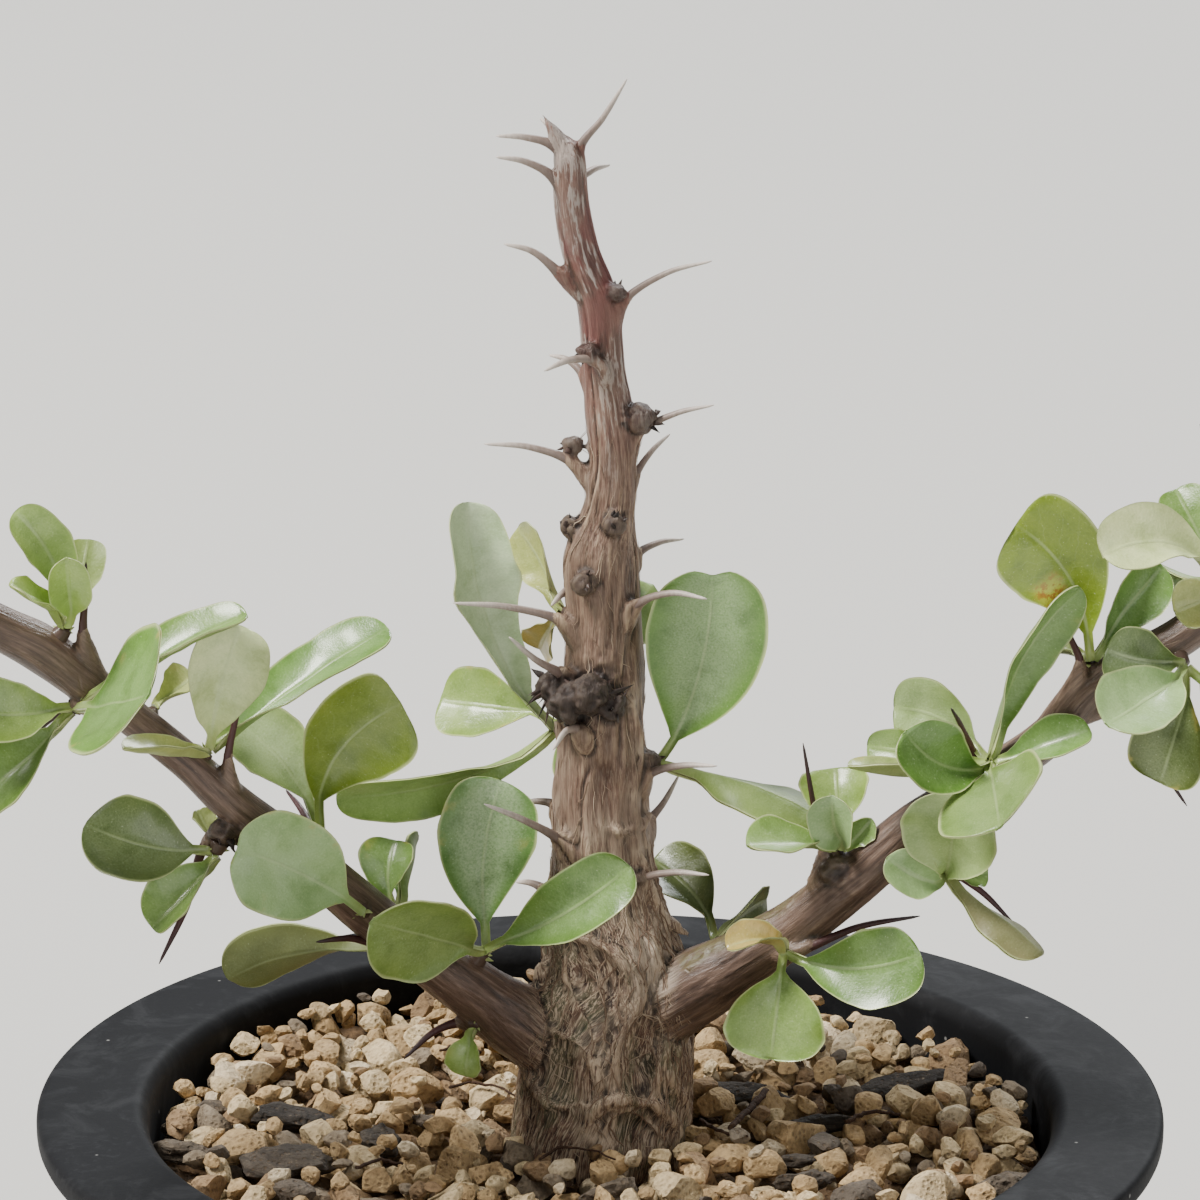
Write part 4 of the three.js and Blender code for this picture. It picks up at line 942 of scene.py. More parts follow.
def wrapped(core):
    mesh = bpy.data.meshes.new("core")
    faces = [tuple(f) for group in core["faces"] for f in group.tolist()]
    mesh.from_pydata(core["points"].tolist(), [], faces)
    holder = bpy.data.objects.new("core", mesh)
    bpy.context.scene.collection.objects.link(holder)
    skin = holder.modifiers.new("skin", "REMESH")
    skin.mode = "VOXEL"
    skin.voxel_size = bark["grain"]
    seen = holder.evaluated_get(bpy.context.evaluated_depsgraph_get())
    done = bpy.data.meshes.new_from_object(seen)
    points = np.zeros(len(done.vertices) * 3)
    done.vertices.foreach_get("co", points)
    corners = np.zeros(len(done.loops), dtype=np.int32)
    done.loops.foreach_get("vertex_index", corners)
    edges = np.zeros(len(done.edges) * 2, dtype=np.int32)
    done.edges.foreach_get("vertices", edges)
    quads = corners.reshape(-1, 4)
    bpy.data.objects.remove(holder)
    bpy.data.meshes.remove(mesh)
    bpy.data.meshes.remove(done)
    return points.reshape(-1, 3), quads, edges.reshape(-1, 2)


def neighbourMean(values, edges):
    count = len(values)
    ends = np.concatenate([edges[:, 0], edges[:, 1]])
    others = np.concatenate([edges[:, 1], edges[:, 0]])
    number = np.maximum(1, np.bincount(ends, minlength=count))
    flat = values.reshape(count, -1)
    total = [np.bincount(ends, weights=column[others], minlength=count) for column in flat.T]
    return (np.stack(total, axis=1) / number[:, None]).reshape(values.shape)


def pointNormals(points, quads):
    a, b, c, d = (points[quads[:, k]] for k in range(4))
    across = np.cross(c - a, d - b)
    normals = np.zeros_like(points)
    for corner in range(4):
        for axis in range(3):
            normals[:, axis] += np.bincount(
                quads[:, corner], weights=across[:, axis], minlength=len(points)
            )
    return normals / np.maximum(1e-9, np.linalg.norm(normals, axis=1, keepdims=True))


# For each point: which stem it belongs to, its height along it and its place across it
def stemPlaces(points):
    best = np.full(len(points), np.inf)
    across = np.zeros_like(points)
    gap = {}
    for name, path in stems.items():
        steps = np.linspace(0, path.last, 260)
        line = np.array([path.place(s) for s in steps])
        wide = np.array([path.radius(s) for s in steps])
        ahead, side, front = framesAlong(line, np.array([1.0, 0.05, 0]))
        length = np.concatenate([[0], np.cumsum(np.linalg.norm(np.diff(line, axis=0), axis=1))])
        tree = KDTree(len(line))
        for i, p in enumerate(line):
            tree.insert(p, i)
        tree.balance()
        found = np.array([tree.find(p)[1] for p in points])
        away = points - line[found]
        ratio = np.linalg.norm(away, axis=1) / wide[found]
        gap[name] = ratio
        closer = ratio < best
        best = np.where(closer, ratio, best)
        place = np.stack(
            [
                np.sum(away * side[found], axis=1),
                np.sum(away * front[found], axis=1),
                length[found] + np.sum(away * ahead[found], axis=1),
            ],
            axis=1,
        )
        if name != "trunk":
            place[:, 2] += 300 if name == "left" else 600
        across = np.where(closer[:, None], place, across)
    branch = np.minimum(gap["left"], gap["right"])
    onBranch = smooth(-0.25, 0.45, gap["trunk"] - branch)
    return across, onBranch


# How near each point lies to the nearest of some places, as a share of a reach
def nearness(points, places, reaches):
    best = np.zeros(len(points))
    for place, reach in zip(places, reaches):
        gap = np.linalg.norm(points - place, axis=1) / reach
        best = np.maximum(best, np.exp(-(gap**2)))
    return best


def stripNearness(points, normals):
    view = seen(points)
    best = np.full(len(points), 99.0)
    for a, b in zip(greenStrip[:-1], greenStrip[1:]):
        a, b = np.array(a), np.array(b)
        t = np.clip((view - a) @ (b - a) / np.dot(b - a, b - a), 0, 1)
        best = np.minimum(best, np.linalg.norm(view - a - t[:, None] * (b - a), axis=1))
    edge = 1 + 0.35 * noiseAt(points * 0.7, 3)
    return np.exp(-((best / (stripReach * edge)) ** 4)) * (normals[:, 1] < 0.1)


def stemPiece():
    points, quads, edges = wrapped(stemCore())
    for _ in range(bark["smoothing"]):
        points = points + 0.6 * (neighbourMean(points, edges) - points)
    normals = pointNormals(points, quads)
    place, onBranch = stemPlaces(points)
    height = points[:, 2] - pot["height"]
    low = 1 - smooth(*bark["footFades"], height)
    high = smooth(*bark["youngStarts"], height)
    shares = np.linspace(0.12, 0.34, 6)
    ridgeSpots = [curveAt(spineCurve(row)[0], s) for row in spines for s in shares]
    ridge = nearness(points, ridgeSpots, [2.2] * len(ridgeSpots))
    spots = [sight(at, y) for at, y, _ in knobs]
    sizes = [size * (1.35 if k in bigHeaps else 0.95) for k, (_, _, size) in enumerate(knobs)]
    dry = nearness(points, spots, sizes)
    strip = stripNearness(points, normals)
    foldSpots = [onTrunk(at)[0] for places, _ in folds for at in places]
    fold = nearness(points, foldSpots, [1.5] * len(foldSpots))
    pit = np.zeros(len(points))
    view = seen(points)
    for (x, y), wide, tall, depth in hollows:
        gap = ((view[:, 0] - x) / wide) ** 2 + ((view[:, 1] - y) / tall) ** 2
        dent = 1.5 * depth * np.exp(-gap) * smooth(0.1, 0.6, -normals[:, 1]) * (1 - onBranch)
        points = points - normals * dent[:, None]
        pit = np.maximum(pit, np.clip(dent / depth, 0, 1))
    (x, y), wide, tall = bareFork
    gap = ((view[:, 0] - x) / wide) ** 2 + ((view[:, 1] - y) / tall) ** 2
    bare = np.exp(-(gap**2)) * smooth(0.1, 0.6, -normals[:, 1])
    swirl = layeredNoise(place * np.array([0.07, 0.07, 0.055]), 2, 5)
    wound = place.copy()
    turn = (0.12 + 0.34 * low * (1 - onBranch)) * swirl
    wound[:, 0] = place[:, 0] * np.cos(turn) - place[:, 1] * np.sin(turn)
    wound[:, 1] = place[:, 0] * np.sin(turn) + place[:, 1] * np.cos(turn)
    thin = 1 - np.abs(layeredNoise(wound * np.array([1.2, 1.2, 0.12]), 2, 11))
    fibre = 1 - np.abs(layeredNoise(wound * np.array([0.66, 0.66, 0.05]), 2, 13))
    fibre = fibre + (thin - fibre) * low
    coarse = 1 - np.abs(layeredNoise(wound * np.array([0.34, 0.34, 0.04]), 2, 23))
    calm = smooth(-0.35, 0.4, noiseAt(wound * np.array([0.11, 0.11, 0.03]), 29))
    calm = calm + (0.8 - calm) * low
    crack = np.exp(-((noiseAt(wound * np.array([0.33, 0.33, 0.022]), 37) / 0.07) ** 2))
    crack = crack * (1 - low) * (1 - 0.6 * high) * (1 - 0.8 * onBranch)
    amount = bark["midFlutes"] + (bark["baseFlutes"] - bark["midFlutes"]) * low
    amount = amount + (bark["topFlutes"] - amount) * high
    amount = amount + (bark["branchFlutes"] - amount) * onBranch
    lift = amount * (1.3 * (coarse - 0.72) + (0.25 + 0.95 * calm) * (fibre - 0.7)) - 0.42 * crack
    knotted = layeredNoise(points * 0.9, 3, 31)
    lift += 0.12 * knotted * low * (1 - onBranch)
    lumps = layeredNoise(points * np.array([0.8, 0.8, 1.0]), 3, 41)
    lift = lift * (1 - 0.6 * dry) + 0.6 * lumps * dry
    lift += 0.3 * strip * (0.5 - np.abs(layeredNoise(wound * np.array([0.8, 0.8, 0.5]), 2, 47)))
    points = points + normals * lift[:, None]
    normals = pointNormals(points, quads)
    # How hollow each point is; the bark paints shade into hollow places with it
    hollow = np.sum((neighbourMean(points, edges) - points) * normals, axis=1)
    for _ in range(2):
        hollow = 0.5 * hollow + 0.5 * neighbourMean(hollow, edges)
    whole = shape(
        points,
        [quads],
        barkPlace=wound,
        low=low,
        high=high,
        branch=onBranch,
        hollow=np.clip(hollow / 0.04, -1, 1),
        ridge=ridge,
        dry=dry,
        strip=strip * (1 - ridge),
        fold=fold,
        pit=pit * (1 - fold),
        bare=bare,
    )
    return whole, normals


# The skin is kept in parts of a fair size that meet edge to edge
def stemParts(whole, normals):
    quads = whole["faces"][0]
    middle = whole["points"][quads].mean(axis=1)
    branch = whole["fields"]["branch"][quads].mean(axis=1) > 0.5
    height = middle[:, 2] - pot["height"]
    kinds = np.where(height > bark["footPart"], 1, 0)
    kinds = np.where(branch, np.where(middle[:, 0] < 0, 2, 3), kinds)
    parts = {}
    for index, name in enumerate(("stem_foot", "stem_trunk", "stem_left", "stem_right")):
        chosen = quads[kinds == index]
        used, packed = np.unique(chosen, return_inverse=True)
        fields = {key: value[used] for key, value in whole["fields"].items()}
        part = shape(whole["points"][used], [packed.reshape(-1, 4)], **fields)
        parts[name] = (part, normals[used])
    return parts


# Bark: fibres that run up the stem, tan and shredded on the old base, maroon on the young top
def barkMaterial():
    material, on = newMaterial("stem_bark")
    place = on.field("barkPlace", "Vector")
    low, high = on.field("low"), on.field("high")
    branch, hollow, ridge = on.field("branch"), on.field("hollow"), on.field("ridge")
    dry, strip = on.field("dry"), on.field("strip")
    fine = on.noise(on.stretched(place, (2.4, 2.4, 0.2)), 1.0, 5, 0.66, 0.25)
    broad = on.noise(on.stretched(place, (0.62, 0.62, 0.08)), 1.0, 4, 0.6, 0.4)
    patch = on.noise(on.stretched(place, (0.24, 0.24, 0.13)), 1.0, 4, 0.6)
    hair = on.noise(on.stretched(place, (7.0, 7.0, 0.45)), 1.0, 3, 0.6)
    drawn = on.stretched(place, (1.7, 1.7, 0.13))
    crisp = on.noise(drawn, 1.0, 5, 0.6, noise_type="RIDGED_MULTIFRACTAL", normalize=True)
    streak = on.scaled(fine, 0.6, on.times(broad, 0.4))
    # The hollow term darkens concave places: painted shade in the grooves
    shade = on.scaled(hollow, -0.2, streak)
    old = on.ramp(
        shade,
        [(0.32, bark["dark"]), (0.44, bark["mid"]), (0.55, bark["light"]), (0.69, bark["pale"])],
    )
    pit = on.field("pit")
    rufous = on.larger(on.times(on.ranged(patch, 0.42, 0.3), low), pit)
    old = on.over(old, rufous, 0.5, on.mix(fine, bark["rufousDark"], bark["rufousPale"]))
    # Raised folds are painted pale: partly weathered bark, partly a painted highlight on their tops
    raisedFold = on.times(on.field("fold"), on.ranged(fine, 0.36, 0.5))
    old = on.over(old, raisedFold, 0.72, bark["foldPaleHighlight"])
    greenMask = on.times(on.ranged(patch, 0.53, 0.62), on.ranged(low, 0.4, 0.9))
    old = on.over(old, greenMask, 0.6, on.mix(fine, bark["greenDark"], bark["green"]))
    fringe = on.times(on.ranged(hair, 0.495, 0.585), on.ranged(low, 0.0, 0.7, 0.3, 1.0))
    old = on.over(old, fringe, 0.8, bark["fringe"])
    young = on.ramp(
        shade,
        [
            (0.36, bark["youngDark"]),
            (0.48, bark["young"]),
            (0.58, bark["youngMid"]),
            (0.7, bark["youngLight"]),
        ],
    )
    red = on.times(on.ranged(patch, 0.5, 0.42), 0.75)
    young = on.mix(red, young, on.mix(fine, bark["redDark"], bark["redPale"]))
    flakes = on.ranged(on.scaled(patch, 0.6, on.times(fine, 0.4)), 0.515, 0.545)
    young = on.mix(flakes, young, on.mix(fine, bark["flakeDark"], bark["youngPale"]))
    limb = on.ramp(
        shade,
        [
            (0.36, bark["branchDark"]),
            (0.52, bark["branchMid"]),
            (0.63, bark["branchLight"]),
            (0.74, bark["branchPale"]),
        ],
    )
    scratch = on.ranged(hair, 0.62, 0.7)
    limb = on.over(limb, scratch, 0.4, bark["branchPale"])
    splits = on.cells(on.stretched(place, (0.75, 0.75, 0.07)), 1.0, "DISTANCE_TO_EDGE")[0]
    split = on.times(on.ranged(splits, 0.004, 0.022, 1.0, 0.0), on.ranged(patch, 0.5, 0.62))
    limb = on.over(limb, split, 0.6, on.mix(fine, bark["splitDark"], bark["splitPale"]))
    cracks = on.cells(on.stretched(place, (1.3, 1.3, 0.34)), 1.0, "DISTANCE_TO_EDGE")[0]
    tan = on.mix(fine, bark["stripDark"], bark["stripPale"])
    tan = on.mix(on.ranged(cracks, 0.0, 0.1, 0.6, 0.0), tan, bark["stripCrack"])
    calm = on.less(1.0, on.larger(on.larger(low, high), branch))
    calm = on.times(calm, on.ranged(patch, 0.4, 0.56))
    old = on.over(old, calm, 0.55, on.mix(patch, bark["calmDark"], bark["calmPale"]))
    tone = on.mix(high, old, young)
    tone = on.mix(branch, tone, limb)
    bare = on.times(on.field("bare"), on.ranged(fine, 0.34, 0.5))
    tone = on.over(tone, bare, 0.75, bark["bareWood"])
    tone = on.over(tone, strip, 0.85, tan)
    tone = on.over(tone, ridge, 0.3, on.mix(fine, bark["mid"], bark["pale"]))
    tone = on.mix(
        on.ranged(dry, 0.2, 0.6, 0, 0.9), tone, on.mix(fine, bark["dryDark"], bark["dryPale"])
    )
    # Hollow places are darkened further with the crease tone: painted shade
    crease = on.ranged(hollow, 0.2, 0.95)
    tone = on.over(tone, crease, 0.6, bark["crease"])
    on.skin(tone=tone)
    rough = on.scaled(fine, 0.4, on.scaled(on.larger(branch, high), -0.2, 0.38))
    on.skin(roughness=rough)
    height = on.scaled(fine, 0.7, on.times(hair, 0.55))
    height = on.scaled(crisp, 0.8, height)
    height = on.scaled(on.times(split, branch), -0.8, height)
    strength = on.scaled(calm, -0.45, on.scaled(branch, -0.6, 1.0))
    on.skin(normal=on.raised(height, bark["relief"], strength))
    return material


print("stem")
stemShape, stemNormals = stemPiece()
barkSkin = barkMaterial()
for name, (part, partNormals) in stemParts(stemShape, stemNormals).items():
    piece = makePiece(name, part, barkSkin, ["stem"])
    piece.data.normals_split_custom_set_from_vertices(partNormals)


# Spines: slim, slightly flattened horns that run out of the ridges
spineLook = {
    "rings": 22,
    "sides": 10,
    "trunkBase": colour(106, 88, 80),
    "trunkTip": colour(206, 196, 186),
    "trunkMid": colour(146, 130, 120),
    "branchBase": colour(74, 44, 42),
    "branchMid": colour(70, 34, 34),
    "branchTip": colour(44, 28, 30),
}


def spineShape(row):
    points, stemRadius = spineCurve(row)
    shares = np.linspace(0.2, 1, spineLook["rings"])
    line = [curveAt(points, s) for s in shares]
    thick = np.interp(
        shares, [0.2, 0.34, 0.5, 0.8, 0.97, 1], [
            0.28 * stemRadius + 0.2, 0.68, 0.5, 0.34, 0.17, 0.05
        ]
    )
    along = np.clip((shares - 0.34) / 0.66, 0, 1)
    kind = 0.0 if row[0] == "trunk" else 1.0
    return tube(line, thick, spineLook["sides"], 0.82, along=along, branch=kind)


def spineMaterial():
    material, on = newMaterial("spine_horn")
    along, branch = on.field("along"), on.field("branch")
    place = on.place()
    drawn = on.stretched(place, (2600, 2600, 500))
    grain, normal = on.mottled(drawn, 1.0, 4, 0.6, 0.00008, 0.6)
    shade = on.scaled(grain, 0.5, on.less(along, 0.25))
    trunkTone = on.ramp(
        shade,
        [
            (0.0, spineLook["trunkBase"]),
            (0.45, spineLook["trunkMid"]),
            (0.9, spineLook["trunkTip"]),
        ],
    )
    branchTone = on.ramp(
        shade,
        [
            (0.0, spineLook["branchBase"]),
            (0.5, spineLook["branchMid"]),
            (1.0, spineLook["branchTip"]),
        ],
    )
    tone = on.mix(branch, trunkTone, branchTone)
    on.skin(tone=tone, roughness=on.scaled(grain, 0.3, 0.32), normal=normal)
    return material


spineSkin = spineMaterial()
for group, kinds in (("trunk_spines", ["trunk"]), ("branch_spines", ["left", "right"])):
    whole = gathered([spineShape(row) for row in spines if row[0] in kinds])
    makePiece(group, whole, spineSkin, ["stem"])

stemTree = BVHTree.FromPolygons(
    [Vector(p) for p in stemShape["points"]], [tuple(q) for q in stemShape["faces"][0]]
)


# Shredded fibres: fine curled strands that lie over the old base and the mid trunk
fibreLook = {
    "count": 1250,
    "seed": 5,
    "dark": colour(104, 82, 66),
    "mid": colour(142, 118, 98),
    "pale": colour(220, 202, 176),
}


def fibreShape(random):
    low = random.random() < 0.78
    z = pot["height"] + (random.uniform(-5, 27) if low else random.uniform(22, 78))
    angle = random.uniform(0, 2 * math.pi)
    length = random.uniform(1.6, 6.0) if low else random.uniform(1.5, 4.5)
    lean = float(np.clip(random.normal(0, 0.3 if low else 0.18), -0.8, 0.8))
    curl = random.normal(0, 0.06 if low else 0.03)
    steps = 9
    line = []
    for k in range(steps):
        share = k / (steps - 1)
        centre, radius = trunkCentre(z)
        out = np.array([math.cos(angle), math.sin(angle), 0])
        spot = stemTree.find_nearest(Vector(centre + out * (radius + 0.6)))
        surface = np.array(spot[0])
        normal = np.array(spot[1])
        away = 0.05 + (0.6 if low else 0.3) * abs(share - 0.45) ** 2.2 * random.uniform(0.3, 1.6)
        line.append(surface + normal * away)
        step = length / (steps - 1)
        z += step * math.cos(lean)
        angle += step * math.sin(lean) / max(2.0, radius)
        lean += curl
    thick = random.uniform(0.05, 0.1) if low else random.uniform(0.035, 0.065)
    radii = thick * np.sin(np.linspace(0.35, math.pi - 0.25, steps))
    return tube(line, radii, 4, 0.6, tone=random.random())


def fibreMaterial():
    material, on = newMaterial("bark_fibre")
    tone = on.field("tone")
    place = on.place()
    mottle, normal = on.mottled(place, 900.0, 3, 0.6, 0.00005, 0.5)
    shade = on.scaled(mottle, 0.4, on.times(tone, 0.6))
    base = on.ramp(
        shade, [(0.1, fibreLook["dark"]), (0.5, fibreLook["mid"]), (0.95, fibreLook["pale"])]
    )
    on.skin(tone=base, roughness=0.8, normal=normal)
    return material


print("fibres")
fibreRandom = np.random.default_rng(fibreLook["seed"])
fibres = gathered([fibreShape(fibreRandom) for _ in range(fibreLook["count"])])
makePiece("bark_fibres", fibres, fibreMaterial(), ["stem"])


# Dried buds: small heaps of dark, pointed scales on the knobs
budLook = {
    "seed": 12,
    "dark": colour(24, 19, 18),
    "mid": colour(58, 44, 38),
    "brown": colour(70, 50, 42),
    "pale": colour(150, 124, 104),
}


def scaleShape(place, direction, length, width, tone, random):
    across = unit(np.cross(direction, random.normal(size=3)))
    bend = unit(direction + 0.5 * across)
    shares = np.linspace(0, 1, 6)
    line = [place + direction * length * s + bend * length * 0.4 * s * s for s in shares]
    radii = width * np.array([0.7, 1, 0.9, 0.66, 0.34, 0.05])
    return tube(line, radii, 6, 0.5, across, tone=tone)


def driedBuds():
    random = np.random.default_rng(budLook["seed"])
    whole = []
    for index, (at, y, size) in enumerate(knobs):
        centre = sight(at, y)
        found = stemTree.find_nearest(Vector(centre))
        normal = np.array(found[1])
        heap = index in bigHeaps
        for _ in range(16 if heap else 8):
            spread = random.normal(size=3)
            direction = unit(normal + 0.55 * spread)
            place = centre + unit(normal + 0.9 * spread) * size * random.uniform(0.35, 0.85)
            length = size * random.uniform(0.2, 1.0 if heap else 0.5)
            width = size * random.uniform(0.1 if heap else 0.14, 0.22 if heap else 0.32)
            whole.append(scaleShape(place, direction, length, width, random.random(), random))
    return gathered(whole)


def driedMaterial():
    material, on = newMaterial("dried_bud")
    tone = on.field("tone")
    mottle, normal = on.mottled(on.place(), 1200.0, 4, 0.65, 0.00015, 0.9)
    shade = on.scaled(mottle, 0.5, on.times(tone, 0.5))
    base = on.ramp(
        shade,
        [
            (0.2, budLook["dark"]),
            (0.55, budLook["mid"]),
            (0.8, budLook["brown"]),
            (0.95, budLook["pale"]),
        ],
    )
    on.skin(tone=base, roughness=on.ranged(mottle, 0.3, 0.7, 0.45, 0.85), normal=normal)
    return material


print("dried buds")
driedSkin = driedMaterial()
makePiece("dried_buds", driedBuds(), driedSkin, ["stem"])


# Leaves: each blade follows its midrib, with rounded edges, a cupped waved blade and a stalk
leafLook = {
    "rows": 34,
    "columns": 17,
    "tipCrowding": 1.6,
    "footRise": 1.15,
    "tipFall": 0.62,
    "stalkEnd": 0.14,
    "stalkWidth": 1.05,
    "thickness": 0.42,
    "stalkThickness": 0.95,
    "seed": 21,
    "fold": 0.14,
    "cup": 0.5,
    "veinGap": 2.5,
    "gloss": 0.34,
    "shine": 0.42,
    "coat": 0.34,
    "coatRoughness": 0.16,
    "relief": 0.00012,
}

leafTones = {
    "fresh": colour(102, 138, 54),
    "soft": colour(122, 152, 70),
    "pale": colour(146, 172, 104),
    "rich": colour(88, 128, 50),
    # The dark, dull and olive tones are darker copies given to leaves that sit in shade: painted
    # shade
    "dark": colour(82, 96, 34),
    "dullShaded": colour(84, 104, 54),
    "olive": colour(92, 98, 32),
    "lime": colour(116, 138, 40),
    "brown": colour(112, 100, 58),
    # milky: a pale green tone raised to look like a glossy, well-lit leaf: painted highlight
    "paleGlossLit": colour(204, 220, 164),
    "lemon": colour(164, 174, 100),
    "amber": colour(172, 150, 76),
    "bright": colour(124, 156, 56),
    "young": colour(154, 184, 88),
}

leafMarks = {
    # wax: the pale tone of the painted sheen
    "sheenPaint": colour(192, 210, 172),
    "vein": colour(188, 204, 150),
    "dot": colour(206, 214, 178),
    "stalk": colour(170, 184, 106),
    # rim: pale edge tone, partly the leaf's own margin and partly a painted edge highlight
    "rim": colour(196, 206, 146),
    "wornEdge": colour(176, 160, 84),
    "stainRing": colour(186, 186, 60),
    "stain": colour(150, 92, 30),
    "back": colour(124, 132, 84),
    "budDark": colour(60, 42, 34),
    "budBrown": colour(104, 78, 56),
}


def leafFrame(leaf):
    start = sight(leaf["at"], leaf["y"])
    tip = sight(leaf["tip"], leaf["tipY"])
    along = unit(tip - start)
    toEye = unit(eye - start)
    face = unit(toEye - along * np.dot(toEye, along))
    right = np.cross(along, face)
    turn = math.radians(leaf["turn"])
    up = face * math.cos(turn) + right * math.sin(turn)
    return start, tip, along, face, right, up


def leafShape(leaf, bud, random):
    start, tip, along, face, right, up = leafFrame(leaf)
    budAt, budY, budSize = bud
    root = sight(budAt, budY)
    root = root + unit(start - root) * 0.3 * budSize

    def rib(s):
        bend = 4 * s * (1 - s)
        return start + (tip - start) * s + face * leaf["arch"] * bend + right * leaf["sway"] * bend

    joint = 0.15
    joined = rib(joint)
    leaving = (rib(joint + 0.01) - joined) / 0.01 * joint
    arriving = joined - root

    def centre(s):
        if s >= joint:
            return rib(s)
        h = s / joint
        return (
            (2 * h**3 - 3 * h**2 + 1) * root
            + (h**3 - 2 * h**2 + h) * arriving
            + (3 * h**2 - 2 * h**3) * joined
            + (h**3 - h**2) * leaving
        )

    rows, columns = leafLook["rows"], leafLook["columns"]
    t = np.linspace(0, 1, rows)
    shares = 1 - (1 - t) ** leafLook["tipCrowding"]
    line = np.array([centre(s) for s in shares])
    length = np.concatenate([[0], np.cumsum(np.linalg.norm(np.diff(line, axis=0), axis=1))])
    ahead = np.gradient(line, axis=0)
    ahead /= np.maximum(1e-9, np.linalg.norm(ahead, axis=1, keepdims=True))
    ups = up - ahead * (ahead @ up)[:, None]
    ups /= np.maximum(1e-9, np.linalg.norm(ups, axis=1, keepdims=True))
    sides = np.cross(ahead, ups)

    stalk = leafLook["stalkWidth"] / 2
    peak = leaf["peak"]
    s = np.clip((shares - leafLook["stalkEnd"]) / (1 - leafLook["stalkEnd"]), 0, 1)
    rise = leafLook["footRise"]
    fall = leafLook["tipFall"] * rise * (1 - peak) / peak
    form = (s / peak) ** rise * ((1.0001 - s) / (1 - peak)) ** fall
    form = 1.07 * form / (1 + form**6) ** (1 / 6)
    taper = 1 - smooth(0.7, 1, shares)
    half = stalk * (0.25 + 0.75 * taper) + np.maximum(0, leaf["wide"] / 2 - stalk) * form
    half[-1] = 0.04 * leaf["wide"]

    v = np.sin(0.5 * math.pi * np.linspace(-1, 1, columns))
    across = half[:, None] * v[None, :]
    blade = smooth(0.1, 0.3, shares)[:, None]
    crease = leafLook["fold"] * random.uniform(0.5, 1.9) * half[:, None] * np.abs(v)[None, :]
    crease = crease * blade * (1 - 0.6 * shares[:, None])
    belly = np.sqrt(np.sin(math.pi * np.clip(shares, 0, 1)))[:, None]
    lift = (1.35 * leaf["cup"] + leafLook["cup"]) * belly * np.abs(v) ** 1.7
    dip, roll = random.uniform(-0.9, 0.7), random.uniform(-0.13, 0.13)
    lift = lift + dip * shares[:, None] ** 2.2 + roll * shares[:, None] * across
    wave = random.uniform(0.12, 0.34) * leaf["wave"] * min(1, leaf["wide"] / 8)
    phase = random.uniform(0, 6.28, 2)
    number = random.uniform(1.2, 2.2)
    sway = np.where(
        v[None, :] > 0,
        np.sin(6.28 * number * shares[:, None] + phase[0]),
        np.sin(6.28 * number * 1.1 * shares[:, None] + phase[1]),
    )
    lift = lift + crease + wave * sway * np.abs(v) ** 2.5 * blade
    far = np.broadcast_to(length[:, None], across.shape)
    patch = np.stack([across * 0.3, far * 0.3, 0 * across + random.uniform(0, 90)], -1)
    buckle = layeredNoise(patch, 2)
    lift = lift + 0.16 * buckle * blade
    groove = np.exp(-((across / 0.32) ** 2)) * (1 - 0.75 * shares[:, None])
    notch = 1.2 * leaf["notch"] * np.exp(-((across / 1.5) ** 2)) * smooth(0.66, 1, shares)[:, None]
    border = np.stack([shares * 9 + phase[0], 0 * shares, 0 * shares], -1)
    ragged = 0.12 * leaf["wave"] * noiseAt(border)
    across = across + np.sign(v) * np.abs(v) ** 6 * (ragged * blade[:, 0] * taper)[:, None]
    curl = leaf["curl"] * smooth(0.35, 1, np.abs(v))[None, :] * blade * half[:, None]
    middle = (
        line[:, None]
        + sides[:, None] * (across * (1 - 0.3 * abs(leaf["curl"]) * np.abs(v) ** 3))[..., None]
        + ups[:, None] * (lift + curl)[..., None]
        - ahead[:, None] * notch[..., None]
    )
    thin = leafLook["thickness"] * (1 - 0.45 * np.abs(v) ** 3)[None, :]
    stalky = (1 - smooth(0.05, 0.24, shares)[:, None]) * (1 - 0.6 * v[None, :] ** 2)
    thick = thin + (leafLook["stalkThickness"] - thin) * stalky
    thick = thick * np.where(shares > 0.985, 0.6, 1)[:, None]
    top = middle + ups[:, None] * (thick / 2 - 0.13 * groove * blade)[..., None]
    low = middle - ups[:, None] * (thick / 2 + 0.26 * groove)[..., None]

    count = rows * columns
    grid = gridFaces(rows, columns)
    faces = [grid[:, ::-1], grid + count]
    edge = []
    for side in (0, columns - 1):
        a = np.arange(rows - 1) * columns + side
        quad = np.stack([a, a + columns, a + columns + count, a + count], axis=-1)
        edge.append(quad[:, ::-1] if side else quad)
    for row in (0, rows - 1):
        a = row * columns + np.arange(columns - 1)
        quad = np.stack([a, a + 1, a + 1 + count, a + count], axis=-1)
        edge.append(quad if row else quad[:, ::-1])
    warm = random.uniform(-0.07, 0.07)
    tone = np.array(leafTones[leaf["look"]]) * random.uniform(0.84, 1.14)
    tone = tone * np.array([1 + warm, 1, 1 - 2 * warm])
    spot = np.stack([across, far, 0 * across], -1)
    both = lambda value: np.concatenate([value.reshape(count, -1)] * 2).squeeze()
    return shape(
        np.concatenate([top.reshape(-1, 3), low.reshape(-1, 3)]),
        faces + edge,
        leafPlace=both(spot + random.uniform(0, 60) * np.array([0, 0, 1])),
        rim=both(np.broadcast_to(np.abs(v)[None, :], across.shape).copy()),
        share=both(np.broadcast_to(shares[:, None], across.shape).copy()),
        under=np.repeat([0.0, 1.0], count),
        tone=tone,
        spot=leaf["spot"],
        bloom=leaf["bloom"],
        wear=random.random(),
        bud=0.0,
    )


